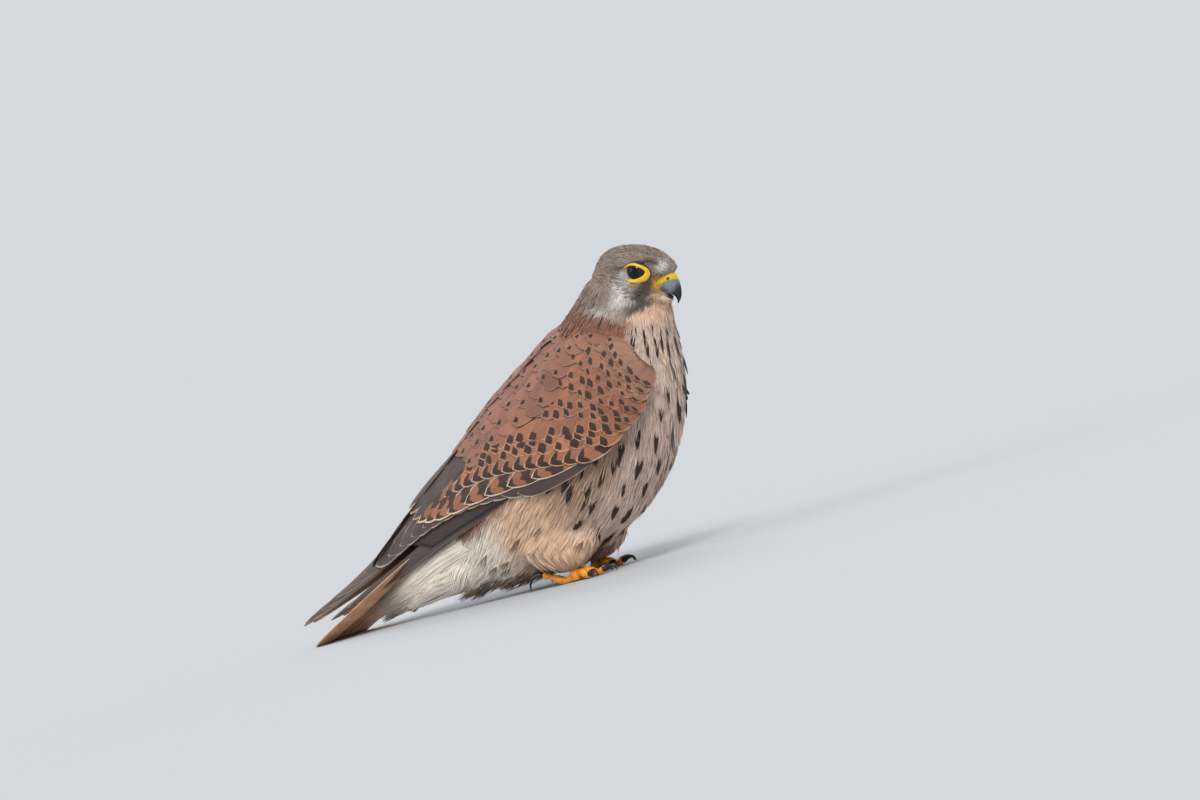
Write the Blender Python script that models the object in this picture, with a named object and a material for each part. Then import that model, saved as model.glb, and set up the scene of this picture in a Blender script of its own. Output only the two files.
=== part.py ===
"""A common kestrel, standing, as a life-size still model.

Numbers are millimetres in the bird's own frame until a mesh is made:
+X is forward, +Y is the bird's left, +Z is up and the floor is at Z = 0.
"""

import math

import bmesh
import bpy
import numpy as np

BIRD = "common_kestrel"
MM = 0.001
GAP = 0.3  # between two nodes that touch
ORIGIN_X = -32.5  # the middle of the bird's length, under which the row's origin lies

# Driving sizes of the bird
EYE_RADIUS = 5.6
EYE_CENTRE = (0.5, 10.9, 0.3)  # in the head's frame, left side
RIM_HALF_LENGTH, RIM_HALF_HEIGHT = 4.6, 4.2  # of the opening in the bare rim round the eye
RIM_RISE = 0.35  # of the rim's middle above the skin
HEAD_PLACE = (83.5, 0.0, 143.6)
HEAD_PITCH_DEG = 17.0
HEAD_YAW_DEG = -3.0
FOOT_SPREAD = 17.0  # from the middle plane to each foot
FOOT_X = (-0.4, 5.0)  # left, right
TAIL_ROOT_X, TAIL_TIP_X = -48.0, -159.0
TAIL_SLOPE = 0.447
TAIL_ROLL = (0.34, 0.10)  # at the root and at the tip: the left edge hangs lower
VANE_THICKNESS = 0.82

# Each torso station: back point (x, z), belly point (x, z), half width
TORSO = (
    (-82.0, 45.0, -80.0, 22.0, 7.0),
    (-72.0, 52.5, -64.0, 12.0, 13.0),
    (-60.5, 62.0, -46.0, 7.0, 19.0),
    (-44.5, 74.0, -22.0, 7.5, 26.0),
    (-27.6, 87.6, 6.0, 11.5, 31.5),
    (-10.7, 99.6, 38.0, 22.5, 34.0),
    (2.2, 109.2, 60.5, 40.6, 35.0),
    (14.0, 118.3, 74.8, 61.8, 34.0),
    (24.8, 126.0, 83.0, 84.0, 31.0),
    (34.6, 133.2, 86.2, 102.0, 26.7),
    (42.4, 139.8, 88.0, 114.0, 22.4),
    (50.8, 147.0, 89.6, 124.0, 19.2),
    (59.2, 153.4, 92.3, 133.0, 16.4),
)
NECK_FROM, NECK_TO = 9.3, 10.5  # stations of the torso where the neck begins and ends

# Each head station, in the head's frame: x, top z, bottom z, half width
HEAD = (
    (-26.5, 3.4, -10.5, 7.5),
    (-22.6, 8.0, -15.4, 12.6),
    (-16.4, 10.8, -18.7, 15.9),
    (-9.0, 11.9, -20.5, 17.6),
    (-2.0, 11.9, -21.0, 17.4),
    (4.0, 10.8, -20.0, 15.6),
    (9.0, 8.8, -18.5, 12.4),
    (13.8, 6.0, -17.0, 8.8),
    (17.2, 2.4, -14.5, 5.0),
)

# Folded wing, right side: lower edge point, upper edge point, bulge and wall depth
WING = (
    ((85.0, -26.0, 96.0), (76.0, -25.0, 109.0), 2.0, 5.0),
    ((79.0, -32.0, 82.0), (54.0, -15.0, 123.0), 11.0, 12.0),
    ((69.0, -35.5, 72.0), (31.0, -10.0, 125.0), 14.0, 15.0),
    ((50.0, -37.5, 61.5), (5.2, -7.0, 113.0), 13.0, 15.0),
    ((20.0, -37.0, 54.0), (-22.8, -6.0, 97.7), 12.0, 14.0),
    ((-12.0, -33.0, 49.0), (-50.8, -5.0, 78.9), 9.0, 10.0),
    ((-48.0, -26.5, 41.0), (-84.6, -4.5, 57.2), 5.0, 4.0),
    ((-95.0, -15.0, 28.0), (-121.0, -5.0, 33.0), 1.6, 1.4),
    ((-149.0, -8.0, 11.0), (-168.0, -6.0, 12.5), 0.4, 0.9),
)
LEFT_TUCK = 17.0  # how much further back the left wrist lies than the right one
WING_END = len(WING) - 1.0  # the sheet's last station, at the wing's tip
BELLY_FULLNESS = 0.22  # squares off the lower half of the torso's ellipses


def clear_scene():
    for thing in list(bpy.data.objects):
        bpy.data.objects.remove(thing)


def collection_of(name):
    made = bpy.data.collections.new(name)
    bpy.context.scene.collection.children.link(made)
    return made


def material(name, colour, roughness=0.7):
    made = bpy.data.materials.new(name)
    made.use_nodes = True
    shader = made.node_tree.nodes["Principled BSDF"]
    shader.inputs["Base Color"].default_value = (*colour, 1.0)
    shader.inputs["Roughness"].default_value = roughness
    return made


def through(rows, at):
    """Smooth curve through the rows, read at positions at, where 0 is the first row."""
    rows = np.asarray(rows, float)
    at = np.atleast_1d(np.asarray(at, float))
    padded = np.vstack([2 * rows[0] - rows[1], rows, 2 * rows[-1] - rows[-2]])
    low = np.clip(np.floor(at).astype(int), 0, len(rows) - 2)
    f = (at - low)[:, None]
    a, b, c, d = (padded[low + k] for k in range(4))
    return 0.5 * (
        2 * b + (c - a) * f + (2 * a - 5 * b + 4 * c - d) * f**2
        + (3 * b - a - 3 * c + d) * f**3
    )


def unit(vectors):
    return vectors / np.linalg.norm(vectors, axis=-1, keepdims=True)


def mesh_object(name, points, faces, paint=None, collection=None):
    """A closed mesh from points in the bird's millimetres, with its faces turned outwards."""
    place = (np.asarray(points, float) - (ORIGIN_X, 0, 0)) * MM
    mesh = bpy.data.meshes.new(name)
    mesh.from_pydata(place.tolist(), [], faces)
    tidy = bmesh.new()
    tidy.from_mesh(mesh)
    bmesh.ops.recalc_face_normals(tidy, faces=tidy.faces)
    tidy.to_mesh(mesh)
    tidy.free()
    made = bpy.data.objects.new(name, mesh)
    (collection or bpy.data.collections[BIRD]).objects.link(made)
    if paint:
        mesh.materials.append(paint)
    return made


def loft_faces(rings, around):
    """Quads between rings of points, and fans that close both ends on one point each."""
    faces = []
    for i in range(rings - 1):
        for j in range(around):
            k = (j + 1) % around
            faces.append((i * around + j, i * around + k, (i + 1) * around + k, (i + 1) * around + j))
    first, last = rings * around, rings * around + 1
    for j in range(around):
        k = (j + 1) % around
        faces.append((first, k, j))
        faces.append((last, (rings - 1) * around + j, (rings - 1) * around + k))
    return faces


def loft(name, rings, poles, collection=None, paint=None):
    rings = np.asarray(rings, float)
    count, around = rings.shape[:2]
    points = np.vstack([rings.reshape(-1, 3), poles])
    return mesh_object(name, points, loft_faces(count, around), paint, collection)


def tube(name, path, radii, around=8, collection=None, flat=1.0, paint=None):
    """A round bar along a path, with its own radius at each point, and flat times as deep."""
    path, radii = np.asarray(path, float), np.asarray(radii, float)
    along = unit(np.gradient(path, axis=0))
    upright = np.abs(along[:, 2:]) > 0.95
    across = unit(np.cross(along, np.where(upright, (0.0, 1.0, 0.0), (0.0, 0.0, 1.0))))
    over = np.cross(across, along)
    turn = np.linspace(0, 2 * math.pi, around, endpoint=False)
    rings = (
        path[:, None]
        + radii[:, None, None] * np.cos(turn)[None, :, None] * across[:, None]
        + flat * radii[:, None, None] * np.sin(turn)[None, :, None] * over[:, None]
    )
    poles = [path[0] - along[0] * radii[0] * 0.5, path[-1] + along[-1] * radii[-1] * 0.5]
    return loft(name, rings, poles, collection, paint)


def apply_modifiers(thing):
    graph = bpy.context.evaluated_depsgraph_get()
    made = bpy.data.meshes.new_from_object(thing.evaluated_get(graph))
    thing.modifiers.clear()
    thing.data = made


def empty_collection(collection):
    for thing in list(collection.objects):
        bpy.data.objects.remove(thing)
    bpy.data.collections.remove(collection)


def combine(thing, collection, operation="UNION", solver="MANIFOLD"):
    """One Boolean of the thing with everything in the collection, which is then removed."""
    step = thing.modifiers.new(operation.lower(), "BOOLEAN")
    step.operation, step.solver = operation, solver
    step.operand_type, step.collection = "COLLECTION", collection
    apply_modifiers(thing)
    empty_collection(collection)


def keep_largest(thing):
    """Leaves only the largest closed surface of the mesh."""
    tidy = bmesh.new()
    tidy.from_mesh(thing.data)
    bmesh.ops.remove_doubles(tidy, verts=tidy.verts, dist=1e-7)
    bmesh.ops.dissolve_degenerate(tidy, edges=tidy.edges, dist=1e-7)
    for vert in [v for v in tidy.verts if len(v.link_edges) == 2]:
        bmesh.ops.dissolve_verts(tidy, verts=[vert])
    bmesh.ops.triangulate(tidy, faces=tidy.faces)
    left, shells = set(tidy.faces), []
    while left:
        todo, shell = [left.pop()], []
        while todo:
            face = todo.pop()
            shell.append(face)
            for other in {f for edge in face.edges for f in edge.link_faces} & left:
                left.remove(other)
                todo.append(other)
        corners = [vert.co for face in shell for vert in face.verts]
        shells.append((float(np.prod(np.max(corners, axis=0) - np.min(corners, axis=0))), shell))
    shells.sort(key=lambda pair: pair[0])
    for _, shell in shells[:-1]:
        bmesh.ops.delete(tidy, geom=shell, context="FACES")
    tidy.to_mesh(thing.data)
    tidy.free()


def box(name, low, high, collection):
    low, high = np.asarray(low, float), np.asarray(high, float)
    cube = bmesh.new()
    bmesh.ops.create_cube(cube, size=1.0)
    points = np.array([vert.co for vert in cube.verts]) * (high - low) + (low + high) / 2
    faces = [[vert.index for vert in face.verts] for face in cube.faces]
    cube.free()
    return mesh_object(name, points, faces, None, collection)


def smooth_shade(thing, angle_deg=40):
    thing.data.shade_smooth()
    thing.data.set_sharp_from_angle(angle=math.radians(angle_deg))


# The body: torso, neck and head, modelled whole and parted with thin cuts


def torso_rings(low, high, count, around, grow=0.0):
    """Rings of points between two torso stations: ellipses from back to belly, fuller below."""
    rows = through(TORSO, np.linspace(low, high, count))
    back = np.stack([rows[:, 0], np.zeros(count), rows[:, 1]], 1)
    belly = np.stack([rows[:, 2], np.zeros(count), rows[:, 3]], 1)
    middle, half = (back + belly) / 2, (back - belly) / 2
    half = half * (1 + grow / np.linalg.norm(half, axis=1))[:, None]
    turn = np.linspace(0, 2 * math.pi, around, endpoint=False)
    rings = middle[:, None] + np.cos(turn)[None, :, None] * half[:, None]
    fuller = 1 - BELLY_FULLNESS * np.clip(-np.cos(turn), 0, 1)
    wide = np.sign(np.sin(turn)) * np.abs(np.sin(turn)) ** fuller
    rings[:, :, 1] = wide[None, :] * (rows[:, 4] + grow)[:, None]
    return rings, middle


def torso_main(name, collection, grow=0.0, around=24):
    rings, middle = torso_rings(0, len(TORSO) - 1, 24, around, grow)
    start = middle[0] + unit(middle[0] - middle[1]) * (5 + grow)
    end = middle[-1] + unit(middle[-1] - middle[-2]) * 8
    return loft(name, rings, [start, end], collection)


def covert_wedge(name, collection, top, bottom, width, grow=0.0, around=12):
    """The pointed bundle of feathers over or under the root of the tail."""
    top, bottom = np.asarray(top, float), np.asarray(bottom, float)
    middle = np.zeros((len(top), 3))
    middle[:, 0], middle[:, 2] = top[:, 0], (top[:, 1] + bottom[:, 1]) / 2
    depth = (top[:, 1] - bottom[:, 1]) / 2 + grow
    turn = np.linspace(0, 2 * math.pi, around, endpoint=False)
    rings = np.repeat(middle[:, None], around, 1)
    rings[:, :, 2] += np.cos(turn)[None, :] * depth[:, None]
    rings[:, :, 1] += np.sin(turn)[None, :] * (np.asarray(width, float) + grow)[:, None]
    poles = [middle[0] + (2, 0, 0), middle[-1] - (3 + grow, 0, 0)]
    return loft(name, rings, poles, collection)


def body_cutters(collection, grow):
    """The torso with its coverts, a little larger, for a piece that lies against it."""
    torso_main("torso_cut", collection, grow)
    torso_pieces(collection, grow)


def torso_pieces(collection, grow=0.0):
    under_top = ((-30, 34), (-56, 33), (-80, 27), (-94, 19), (-104, 12.0))
    under_bottom = ((-30, 20), (-56, 8.0), (-80, 7.0), (-94, 5.8), (-104, 5.0))
    covert_wedge("under", collection, under_top, under_bottom, (8, 17, 15, 9.5, 5), grow)
    over_top = ((-50, 58), (-66, 49), (-80, 41), (-90, 35))
    over_bottom = ((-50, 40), (-66, 36), (-80, 31), (-90, 29.5))
    covert_wedge("over", collection, over_top, over_bottom, (17, 16, 13, 9), grow)


def head_frame():
    """The head's place and its forward, left and up directions."""
    pitch, yaw = math.radians(HEAD_PITCH_DEG), math.radians(HEAD_YAW_DEG)
    forward = np.array([math.cos(pitch) * math.cos(yaw), math.cos(pitch) * math.sin(yaw), -math.sin(pitch)])
    left = np.array([-math.sin(yaw), math.cos(yaw), 0.0])
    return np.array(HEAD_PLACE), np.stack([forward, left, np.cross(forward, left)])


def from_head(points):
    place, axes = head_frame()
    return place + np.asarray(points, float) @ axes


def head_surface(at, turn, grow=0.0):
    """Points of the head in its own frame: egg-shaped rings, with a brow over each eye."""
    rows = through(HEAD, at)
    x, top, bottom, width = (rows[:, k][:, None] for k in range(4))
    middle, half = (top + bottom) / 2, (top - bottom) / 2 + grow
    z = middle + half * np.cos(turn)
    egg = 1 - 0.10 * np.cos(turn)
    y = (width + grow) * np.sin(turn) * egg
    side = np.sign(y)
    brow = 1.5 * np.exp(-(((x - 3.0) / 6.0) ** 2) - ((z - 6.2) / 2.2) ** 2)
    socket = 1.3 * np.exp(-(((x - 1.5) / 5.0) ** 2) - ((z + 0.3) / 4.6) ** 2)
    y = y + side * np.minimum(np.abs(y) / 8, 1) * (brow - socket)
    x = x - 0.62 * np.maximum(x - 3.0, 0) * np.exp(-(((z + 7.5) / 6.5) ** 4))
    return np.stack([x + 0 * z, y, z], -1)


def head_main(name, collection, grow=0.0, rings=17, around=26):
    turn = np.linspace(0, 2 * math.pi, around, endpoint=False)[None, :]
    points = head_surface(np.linspace(0, len(HEAD) - 1, rings), turn, grow)
    poles = [from_head([HEAD[0][0] - 2, 0, -4]), from_head([8.3, 0, -6])]
    return loft(name, from_head(points), poles, collection)


def head_side(x, z):
    """How far out the side of the head lies at x and z of its own frame, on the left."""
    at = np.interp(x, [row[0] for row in HEAD], range(len(HEAD)))
    row = through(HEAD, at)[0]
    cosine = np.clip((z - (row[1] + row[2]) / 2) / ((row[1] - row[2]) / 2), -1, 1)
    turn = np.array([[math.acos(cosine)]])
    return float(head_surface(at, turn)[0, 0, 1])


def lid_ring(name, collection, side, around=16, section=5):
    """The bare rim round the eye: an almond ring that lies on the head, wide in front."""
    ring, rings = np.linspace(0, 2 * math.pi, section, endpoint=False), []
    for angle in np.linspace(0, 2 * math.pi, around, endpoint=False):
        out = np.array([math.cos(angle), 0, math.sin(angle)])
        inner = 1 / math.hypot(out[0] / RIM_HALF_LENGTH, out[2] / RIM_HALF_HEIGHT)
        width = 0.6 + 1.3 * max(0.0, out[0]) ** 3
        middle = np.array([EYE_CENTRE[0], 0, EYE_CENTRE[2]]) + out * (inner + width)
        middle[1] = head_side(middle[0], middle[2]) + RIM_RISE
        lift = np.array([0, RIM_RISE + 0.5, 0])
        rings.append([middle + out * width * math.cos(r) + lift * math.sin(r) for r in ring])
    points = np.array(rings) * (1, side, 1)
    faces = []
    for i in range(around):
        for j in range(section):
            k, m = (i + 1) % around, (j + 1) % section
            faces.append((i * section + j, k * section + j, k * section + m, i * section + m))
    return mesh_object(name, from_head(points.reshape(-1, 3)), faces, None, collection)


def sphere(name, centre, radius, collection=None, paint=None, around=16):
    """A ball in the head's frame, with its poles on the bird's left and right."""
    ball = bmesh.new()
    bmesh.ops.create_uvsphere(ball, u_segments=around, v_segments=around // 2, radius=radius)
    points = np.array([vert.co for vert in ball.verts])[:, [0, 2, 1]]
    faces = [[vert.index for vert in face.verts] for face in ball.faces]
    ball.free()
    return mesh_object(name, from_head(points + centre), faces, paint, collection)


def keep_between(thing, low_cut, high_cut):
    """Trims a piece to what lies between two planes, each a point and a direction."""
    tidy = bmesh.new()
    tidy.from_mesh(thing.data)
    for (point, direction), sign in ((low_cut, 1), (high_cut, -1)):
        if point is None:
            continue
        place = (np.asarray(point, float) - (ORIGIN_X, 0, 0)) * MM + np.asarray(direction) * sign * GAP / 2 * MM
        geometry = list(tidy.verts) + list(tidy.edges) + list(tidy.faces)
        cut = bmesh.ops.bisect_plane(
            tidy,
            geom=geometry,
            dist=1e-7,
            plane_co=place.tolist(),
            plane_no=list(direction),
            clear_inner=sign > 0,
            clear_outer=sign < 0,
        )
        edges = [e for e in cut["geom_cut"] if isinstance(e, bmesh.types.BMEdge)]
        bmesh.ops.holes_fill(tidy, edges=edges, sides=0)
    bmesh.ops.triangulate(tidy, faces=tidy.faces)
    tidy.to_mesh(thing.data)
    tidy.free()


def neck_planes():
    """The two cuts that part the torso, the neck and the head."""
    at = through([(*r[:4],) for r in TORSO], [NECK_FROM, NECK_TO])
    planes = []
    for back_x, back_z, belly_x, belly_z in at:
        middle = np.array([(back_x + belly_x) / 2, 0, (back_z + belly_z) / 2])
        across = unit(np.array([back_x - belly_x, 0, back_z - belly_z]))
        planes.append((middle, np.array([across[2], 0, -across[0]])))
    return planes


def make_body(paints):
    pieces = collection_of("body_pieces")
    body = torso_main("torso", None)
    torso_pieces(pieces)
    head_main("head_form", pieces)
    combine(body, pieces)
    keep_largest(body)
    low, high = neck_planes()
    made = {}
    none = (None, None)
    for name, cuts in (("torso", (none, low)), ("neck", (low, high)), ("head", (high, none))):
        copy = bpy.data.objects.new(name + "_node", body.data.copy())
        bpy.data.collections[BIRD].objects.link(copy)
        keep_between(copy, *cuts)
        made[name] = copy
    bpy.data.objects.remove(body)
    for name, thing in made.items():
        thing.name = name
        thing.data.name = name
        thing.data.materials.append(paints[name])
    finish_head(made["head"])
    for thing in made.values():
        keep_largest(thing)
        smooth_shade(thing, 60)
    return made


def finish_head(head):
    """Adds the rims of the eyes, then sinks the eye sockets and the seat of the bill."""
    rims = collection_of("rims")
    for side in (1, -1):
        lid_ring("rim", rims, side)
    combine(head, rims)
    seats = collection_of("seats")
    for side in (1, -1):
        x, y, z = EYE_CENTRE
        sphere("socket", (x, y * side, z), EYE_RADIUS + GAP, seats, None, 16)
    bill_upper("bill_seat", seats, GAP)
    bill_lower("mandible_seat", seats, GAP)
    combine(head, seats, "DIFFERENCE")


# The bill, in the head's frame: a hooked upper half with nostrils, and a short lower half

# Upper half: ridge x, ridge z, cutting-edge x, cutting-edge z, half width
UPPER_BILL = (
    (7.0, -1.2, 4.0, -8.8, 4.6),
    (11.6, -0.4, 8.0, -10.0, 5.1),
    (15.2, -1.4, 11.4, -10.8, 4.4),
    (17.7, -4.2, 13.6, -11.8, 3.3),
    (19.1, -7.6, 15.2, -12.6, 2.3),
    (19.6, -11.2, 16.4, -13.5, 1.5),
    (19.2, -14.0, 17.2, -15.0, 0.8),
)
# Lower half: top x, top z, bottom x, bottom z, half width
LOWER_BILL = (
    (4.0, -9.5, 4.6, -13.2, 4.2),
    (8.0, -10.6, 8.2, -14.6, 3.9),
    (11.4, -11.4, 11.2, -15.0, 3.1),
    (13.4, -12.3, 13.0, -14.8, 2.0),
    (14.6, -13.1, 14.4, -14.4, 1.0),
)


def bill_half(name, collection, rows, grow, paint, count, around, tip, crease):
    """Rings from ridge to edge, pinched to a ridge by crease, closed at the root and the tip."""
    rows = through(rows, np.linspace(0, len(rows) - 1, count))
    ridge = np.stack([rows[:, 0], 0 * rows[:, 0], rows[:, 1]], 1)
    edge = np.stack([rows[:, 2], 0 * rows[:, 2], rows[:, 3]], 1)
    middle, half = (ridge + edge) / 2, (ridge - edge) / 2
    half = half * (1 + grow / np.linalg.norm(half, axis=1))[:, None]
    turn = np.linspace(0, 2 * math.pi, around, endpoint=False)
    rings = middle[:, None] + np.cos(turn)[None, :, None] * half[:, None]
    wide = np.sin(turn) * (1 - crease * np.cos(turn))
    rings[:, :, 1] = wide[None, :] * (rows[:, 4] + grow)[:, None]
    poles = [middle[0] - (0.8 + grow, 0, 0), np.array(tip, float)]
    return loft(name, from_head(rings), from_head(poles), collection, paint)


def bill_upper(name, collection=None, grow=0.0, paint=None):
    return bill_half(name, collection, UPPER_BILL, grow, paint, 11, 12, (17.6, 0, -17.2 - grow), 0.25)


def bill_lower(name, collection=None, grow=0.0, paint=None):
    return bill_half(name, collection, LOWER_BILL, grow, paint, 7, 10, (15.0 + grow, 0, -13.8), -0.2)


def make_bill(paints):
    upper = bill_upper("bill_upper", None, 0.0, paints["bill"])
    cuts = collection_of("bill_cuts")
    bill_lower("mouth_line", cuts, GAP)
    for side in (1, -1):
        out = np.array([[12.0, 2.8 * side, -4.4], [12.6, 6.5 * side, -4.2]])
        tube("nostril", from_head(out), [0.9, 0.9], 8, cuts)
    combine(upper, cuts, "DIFFERENCE")
    keep_largest(upper)
    smooth_shade(upper, 50)
    lower = bill_lower("bill_lower", None, 0.0, paints["bill"])
    smooth_shade(lower, 50)


def make_eyes(paints):
    for name, side in (("eye_left", 1), ("eye_right", -1)):
        x, y, z = EYE_CENTRE
        eye = sphere(name, (x, y * side, z), EYE_RADIUS, None, paints["eye"], 16)
        smooth_shade(eye, 180)


# Feathers: thin vanes on a curved sheet


def wing_sheet(s, t, tuck=0.0):
    """The outer face of a folded wing: s runs from wrist to tip, t from lower to upper edge."""
    s, t = np.broadcast_arrays(np.asarray(s, float), np.asarray(t, float))
    shape = s.shape
    rows = through([(*low, *high, bulge, wall) for low, high, bulge, wall in WING], s.ravel())
    low, high, bulge = rows[:, 0:3], rows[:, 3:6], rows[:, 6:7]
    chord = unit(high - low)
    outward = unit(np.array([0.0, -1.0, 0.0]) + chord * chord[:, 1:2])
    t = t.reshape(-1, 1)
    arch = 4 * t * (1 - t)
    sheet = low + (high - low) * t + outward * bulge * arch
    sheet[:, 0] -= tuck * np.clip(1 - s.ravel() / 3.4, 0, 1) ** 1.5
    return sheet.reshape(*shape, 3)


def wing_normal(s, t, tuck=0.0):
    """The outward direction of the wing sheet, from its slopes."""
    step = 0.02
    low_s, high_s = np.maximum(s - step, 0.0), np.minimum(s + step, WING_END)
    low_t, high_t = np.maximum(t - step, 0.0), np.minimum(t + step, 1.0)
    along = wing_sheet(high_s, t, tuck) - wing_sheet(low_s, t, tuck)
    across = wing_sheet(s, high_t, tuck) - wing_sheet(s, low_t, tuck)
    normal = unit(np.cross(along, across))
    return normal * -np.sign(normal[..., 1:2])


def vane(name, path, up, half_width, blunt, collection, columns=2):
    """A thin feather blade along a path, split into triangles alike on both faces.

    Its outline is a stalk that widens to half_width and then rounds off over the share blunt.
    """
    path, up = np.asarray(path, float), unit(np.asarray(up, float))
    count = len(path)
    along = unit(np.gradient(path, axis=0))
    side = unit(np.cross(along, up))
    k = np.linspace(0, 1, count)
    rise = np.clip(k / 0.25, 0, 1)
    fall = np.clip((k - (1 - blunt)) / blunt, 0, 1)
    width = half_width * (0.55 + 0.45 * rise * (2 - rise)) * np.sqrt(np.clip(1 - fall**2, 0.02, 1))
    c = np.linspace(-1, 1, columns)
    thick = VANE_THICKNESS * (1 - 0.15 * np.abs(c))
    base = path[:, None] + side[:, None] * (c[None, :] * width[:, None])[..., None]
    half = up[:, None] * (thick / 2)[None, :, None]
    points = np.concatenate([(base + half).reshape(-1, 3), (base - half).reshape(-1, 3)])
    under = count * columns
    faces = []
    for i in range(count - 1):
        for j in range(columns - 1):
            a, b = i * columns + j, i * columns + j + 1
            d, e = a + columns, b + columns
            for one in ((a, b, e), (a, e, d)):
                faces.append(one)
                faces.append(tuple(under + v for v in reversed(one)))
    rim = [i * columns for i in range(count)] + [(count - 1) * columns + j for j in range(1, columns)]
    rim += [i * columns + columns - 1 for i in range(count - 2, -1, -1)] + list(range(columns - 2, 0, -1))
    for a, b in zip(rim, rim[1:] + rim[:1]):
        faces.append((a, b, under + b))
        faces.append((a, under + b, under + a))
    return mesh_object(name, points, faces, None, collection)


def wing_vane(place, root, tip, lifts, half_width, blunt, count=4):
    """A vane between two (s, t) places of the wing, lifted off its sheet from root to tip."""
    collection, tuck = place
    k = np.linspace(0, 1, count)
    s = root[0] + (tip[0] - root[0]) * k
    t = root[1] + (tip[1] - root[1]) * k
    up = wing_normal(s, t, tuck)
    path = wing_sheet(s, t, tuck) + up * (lifts[0] + (lifts[1] - lifts[0]) * k)[:, None]
    vane("vane", path, up, half_width, blunt, collection)


def wing_core(name, tuck, around=7, count=13, last=6.6):
    """The solid of the folded arm under its coverts."""
    s = np.linspace(0.0, last, count)[:, None]
    t = np.concatenate([np.linspace(0.0, 1.0, around), np.linspace(1.0, 0.0, 6)[1:-1]])[None, :]
    s, t = np.broadcast_arrays(s, t)
    rings = wing_sheet(s, t, tuck)
    inner = slice(around, None)
    wall = through([(row[3],) for row in WING], s[:, 0])
    depth = wall * (0.25 + 0.75 * (1 - np.abs(2 * t[:, inner] - 1) ** 4))
    rings[:, inner] -= wing_normal(s[:, inner], t[:, inner], tuck) * depth[..., None]
    return loft(name, rings, [rings[0].mean(0), rings[-1].mean(0)])


def primaries(place):
    """The outer flight feathers. The outermost lies lowest, and each next one lies on it."""
    tips = ((8.0, 0.0), (8.0, 0.8), (7.95, 1.0), (7.7, 1.0), (7.5, 0.97), (7.3, 0.94), (7.1, 0.9), (6.9, 0.85))
    for i, tip in enumerate(tips):
        lift = -2.2 + 0.42 * i
        root = (4.8 + 0.14 * i, 0.06 + 0.07 * i)
        wing_vane(place, root, tip, (lift, lift * 0.5), 5.4, 0.5, 6)


def secondaries(place):
    for i in range(5):
        root = (2.4 + 0.5 * i, 0.05 + 0.03 * i)
        tip = (5.1 + 0.4 * i, 0.04 + 0.12 * i)
        wing_vane(place, root, tip, (-0.8, 0.6 + 0.15 * i), 6.5, 0.25, 4)


def tertials(place):
    for i in range(4):
        root = (3.6 + 0.3 * i, 0.5 + 0.1 * i)
        tip = (6.65 - 0.22 * i, 0.62 + 0.1 * i)
        wing_vane(place, root, tip, (-0.6, 1.4 + 0.35 * i), 7.0, 0.3)


def covert_row(place, count, first, last, length, half_width, lift):
    """A row of like feathers from one (s, t) place to another, each pointing back along the wing."""
    for f in np.linspace(0, 1, count):
        s = first[0] + (last[0] - first[0]) * f
        t = first[1] + (last[1] - first[1]) * f
        wing_vane(place, (s, t), (s + length, t + 0.02), (-0.9, lift), half_width, 0.45, 4)


def make_wing(name, side, paints):
    tuck = LEFT_TUCK if side > 0 else 0.0
    wing = wing_core(name, tuck)
    vanes = collection_of("vanes")
    place = (vanes, tuck)
    primaries(place)
    secondaries(place)
    tertials(place)
    covert_row(place, 6, (2.3, 0.16), (4.7, 0.56), 1.25, 7.5, 1.5)
    covert_row(place, 5, (1.7, 0.38), (3.8, 0.70), 1.1, 8.0, 1.62)
    covert_row(place, 4, (1.4, 0.62), (3.2, 0.86), 1.1, 8.0, 1.74)
    combine(wing, vanes)
    cutters = collection_of("wing_cutters")
    body_cutters(cutters, GAP)
    tail_slab(cutters, side)
    box("middle_cut", (-200, -0.2, -20), (200, 60, 200), cutters)
    combine(wing, cutters, "DIFFERENCE")
    keep_largest(wing)
    if side > 0:
        mirror(wing)
    wing.data.materials.append(paints["wing"])
    smooth_shade(wing, 30)
    return wing


def mirror(thing):
    """Turns a right-hand mesh into a left-hand one, with its faces still outwards."""
    tidy = bmesh.new()
    tidy.from_mesh(thing.data)
    for vert in tidy.verts:
        vert.co.y = -vert.co.y
    bmesh.ops.reverse_faces(tidy, faces=tidy.faces)
    tidy.to_mesh(thing.data)
    tidy.free()


# The tail: twelve long vanes, the middle pair on top


def tail_height(x, y):
    """Height of the tail's upper face: it slopes down to the tip and rolls towards the left."""
    k = np.clip((TAIL_ROOT_X - x) / (TAIL_ROOT_X - TAIL_TIP_X), 0, 1)
    roll = TAIL_ROLL[0] + (TAIL_ROLL[1] - TAIL_ROLL[0]) * k
    return (x - TAIL_TIP_X) * TAIL_SLOPE - roll * y


def tail_slab(collection, side):
    """The room of the tail and a gap round it, cut from a wing that is still right-handed."""
    corners, faces = [], []
    stations = (-30.0, -90.0, -128.0, -166.0)
    for x in stations:
        for y in (-21.4, 21.2):
            top = tail_height(x, -side * y) + 1.8
            corners += [(x, y, top), (x, y, top - 7.0)]
    for i in range(0, 4 * len(stations) - 4, 4):
        faces += [(i, i + 4, i + 6, i + 2), (i + 1, i + 3, i + 7, i + 5)]
        faces += [(i, i + 1, i + 5, i + 4), (i + 2, i + 6, i + 7, i + 3)]
    end = 4 * len(stations) - 4
    faces += [(0, 2, 3, 1), (end, end + 1, end + 3, end + 2)]
    return mesh_object("tail_cut", corners, faces, None, collection)


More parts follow.
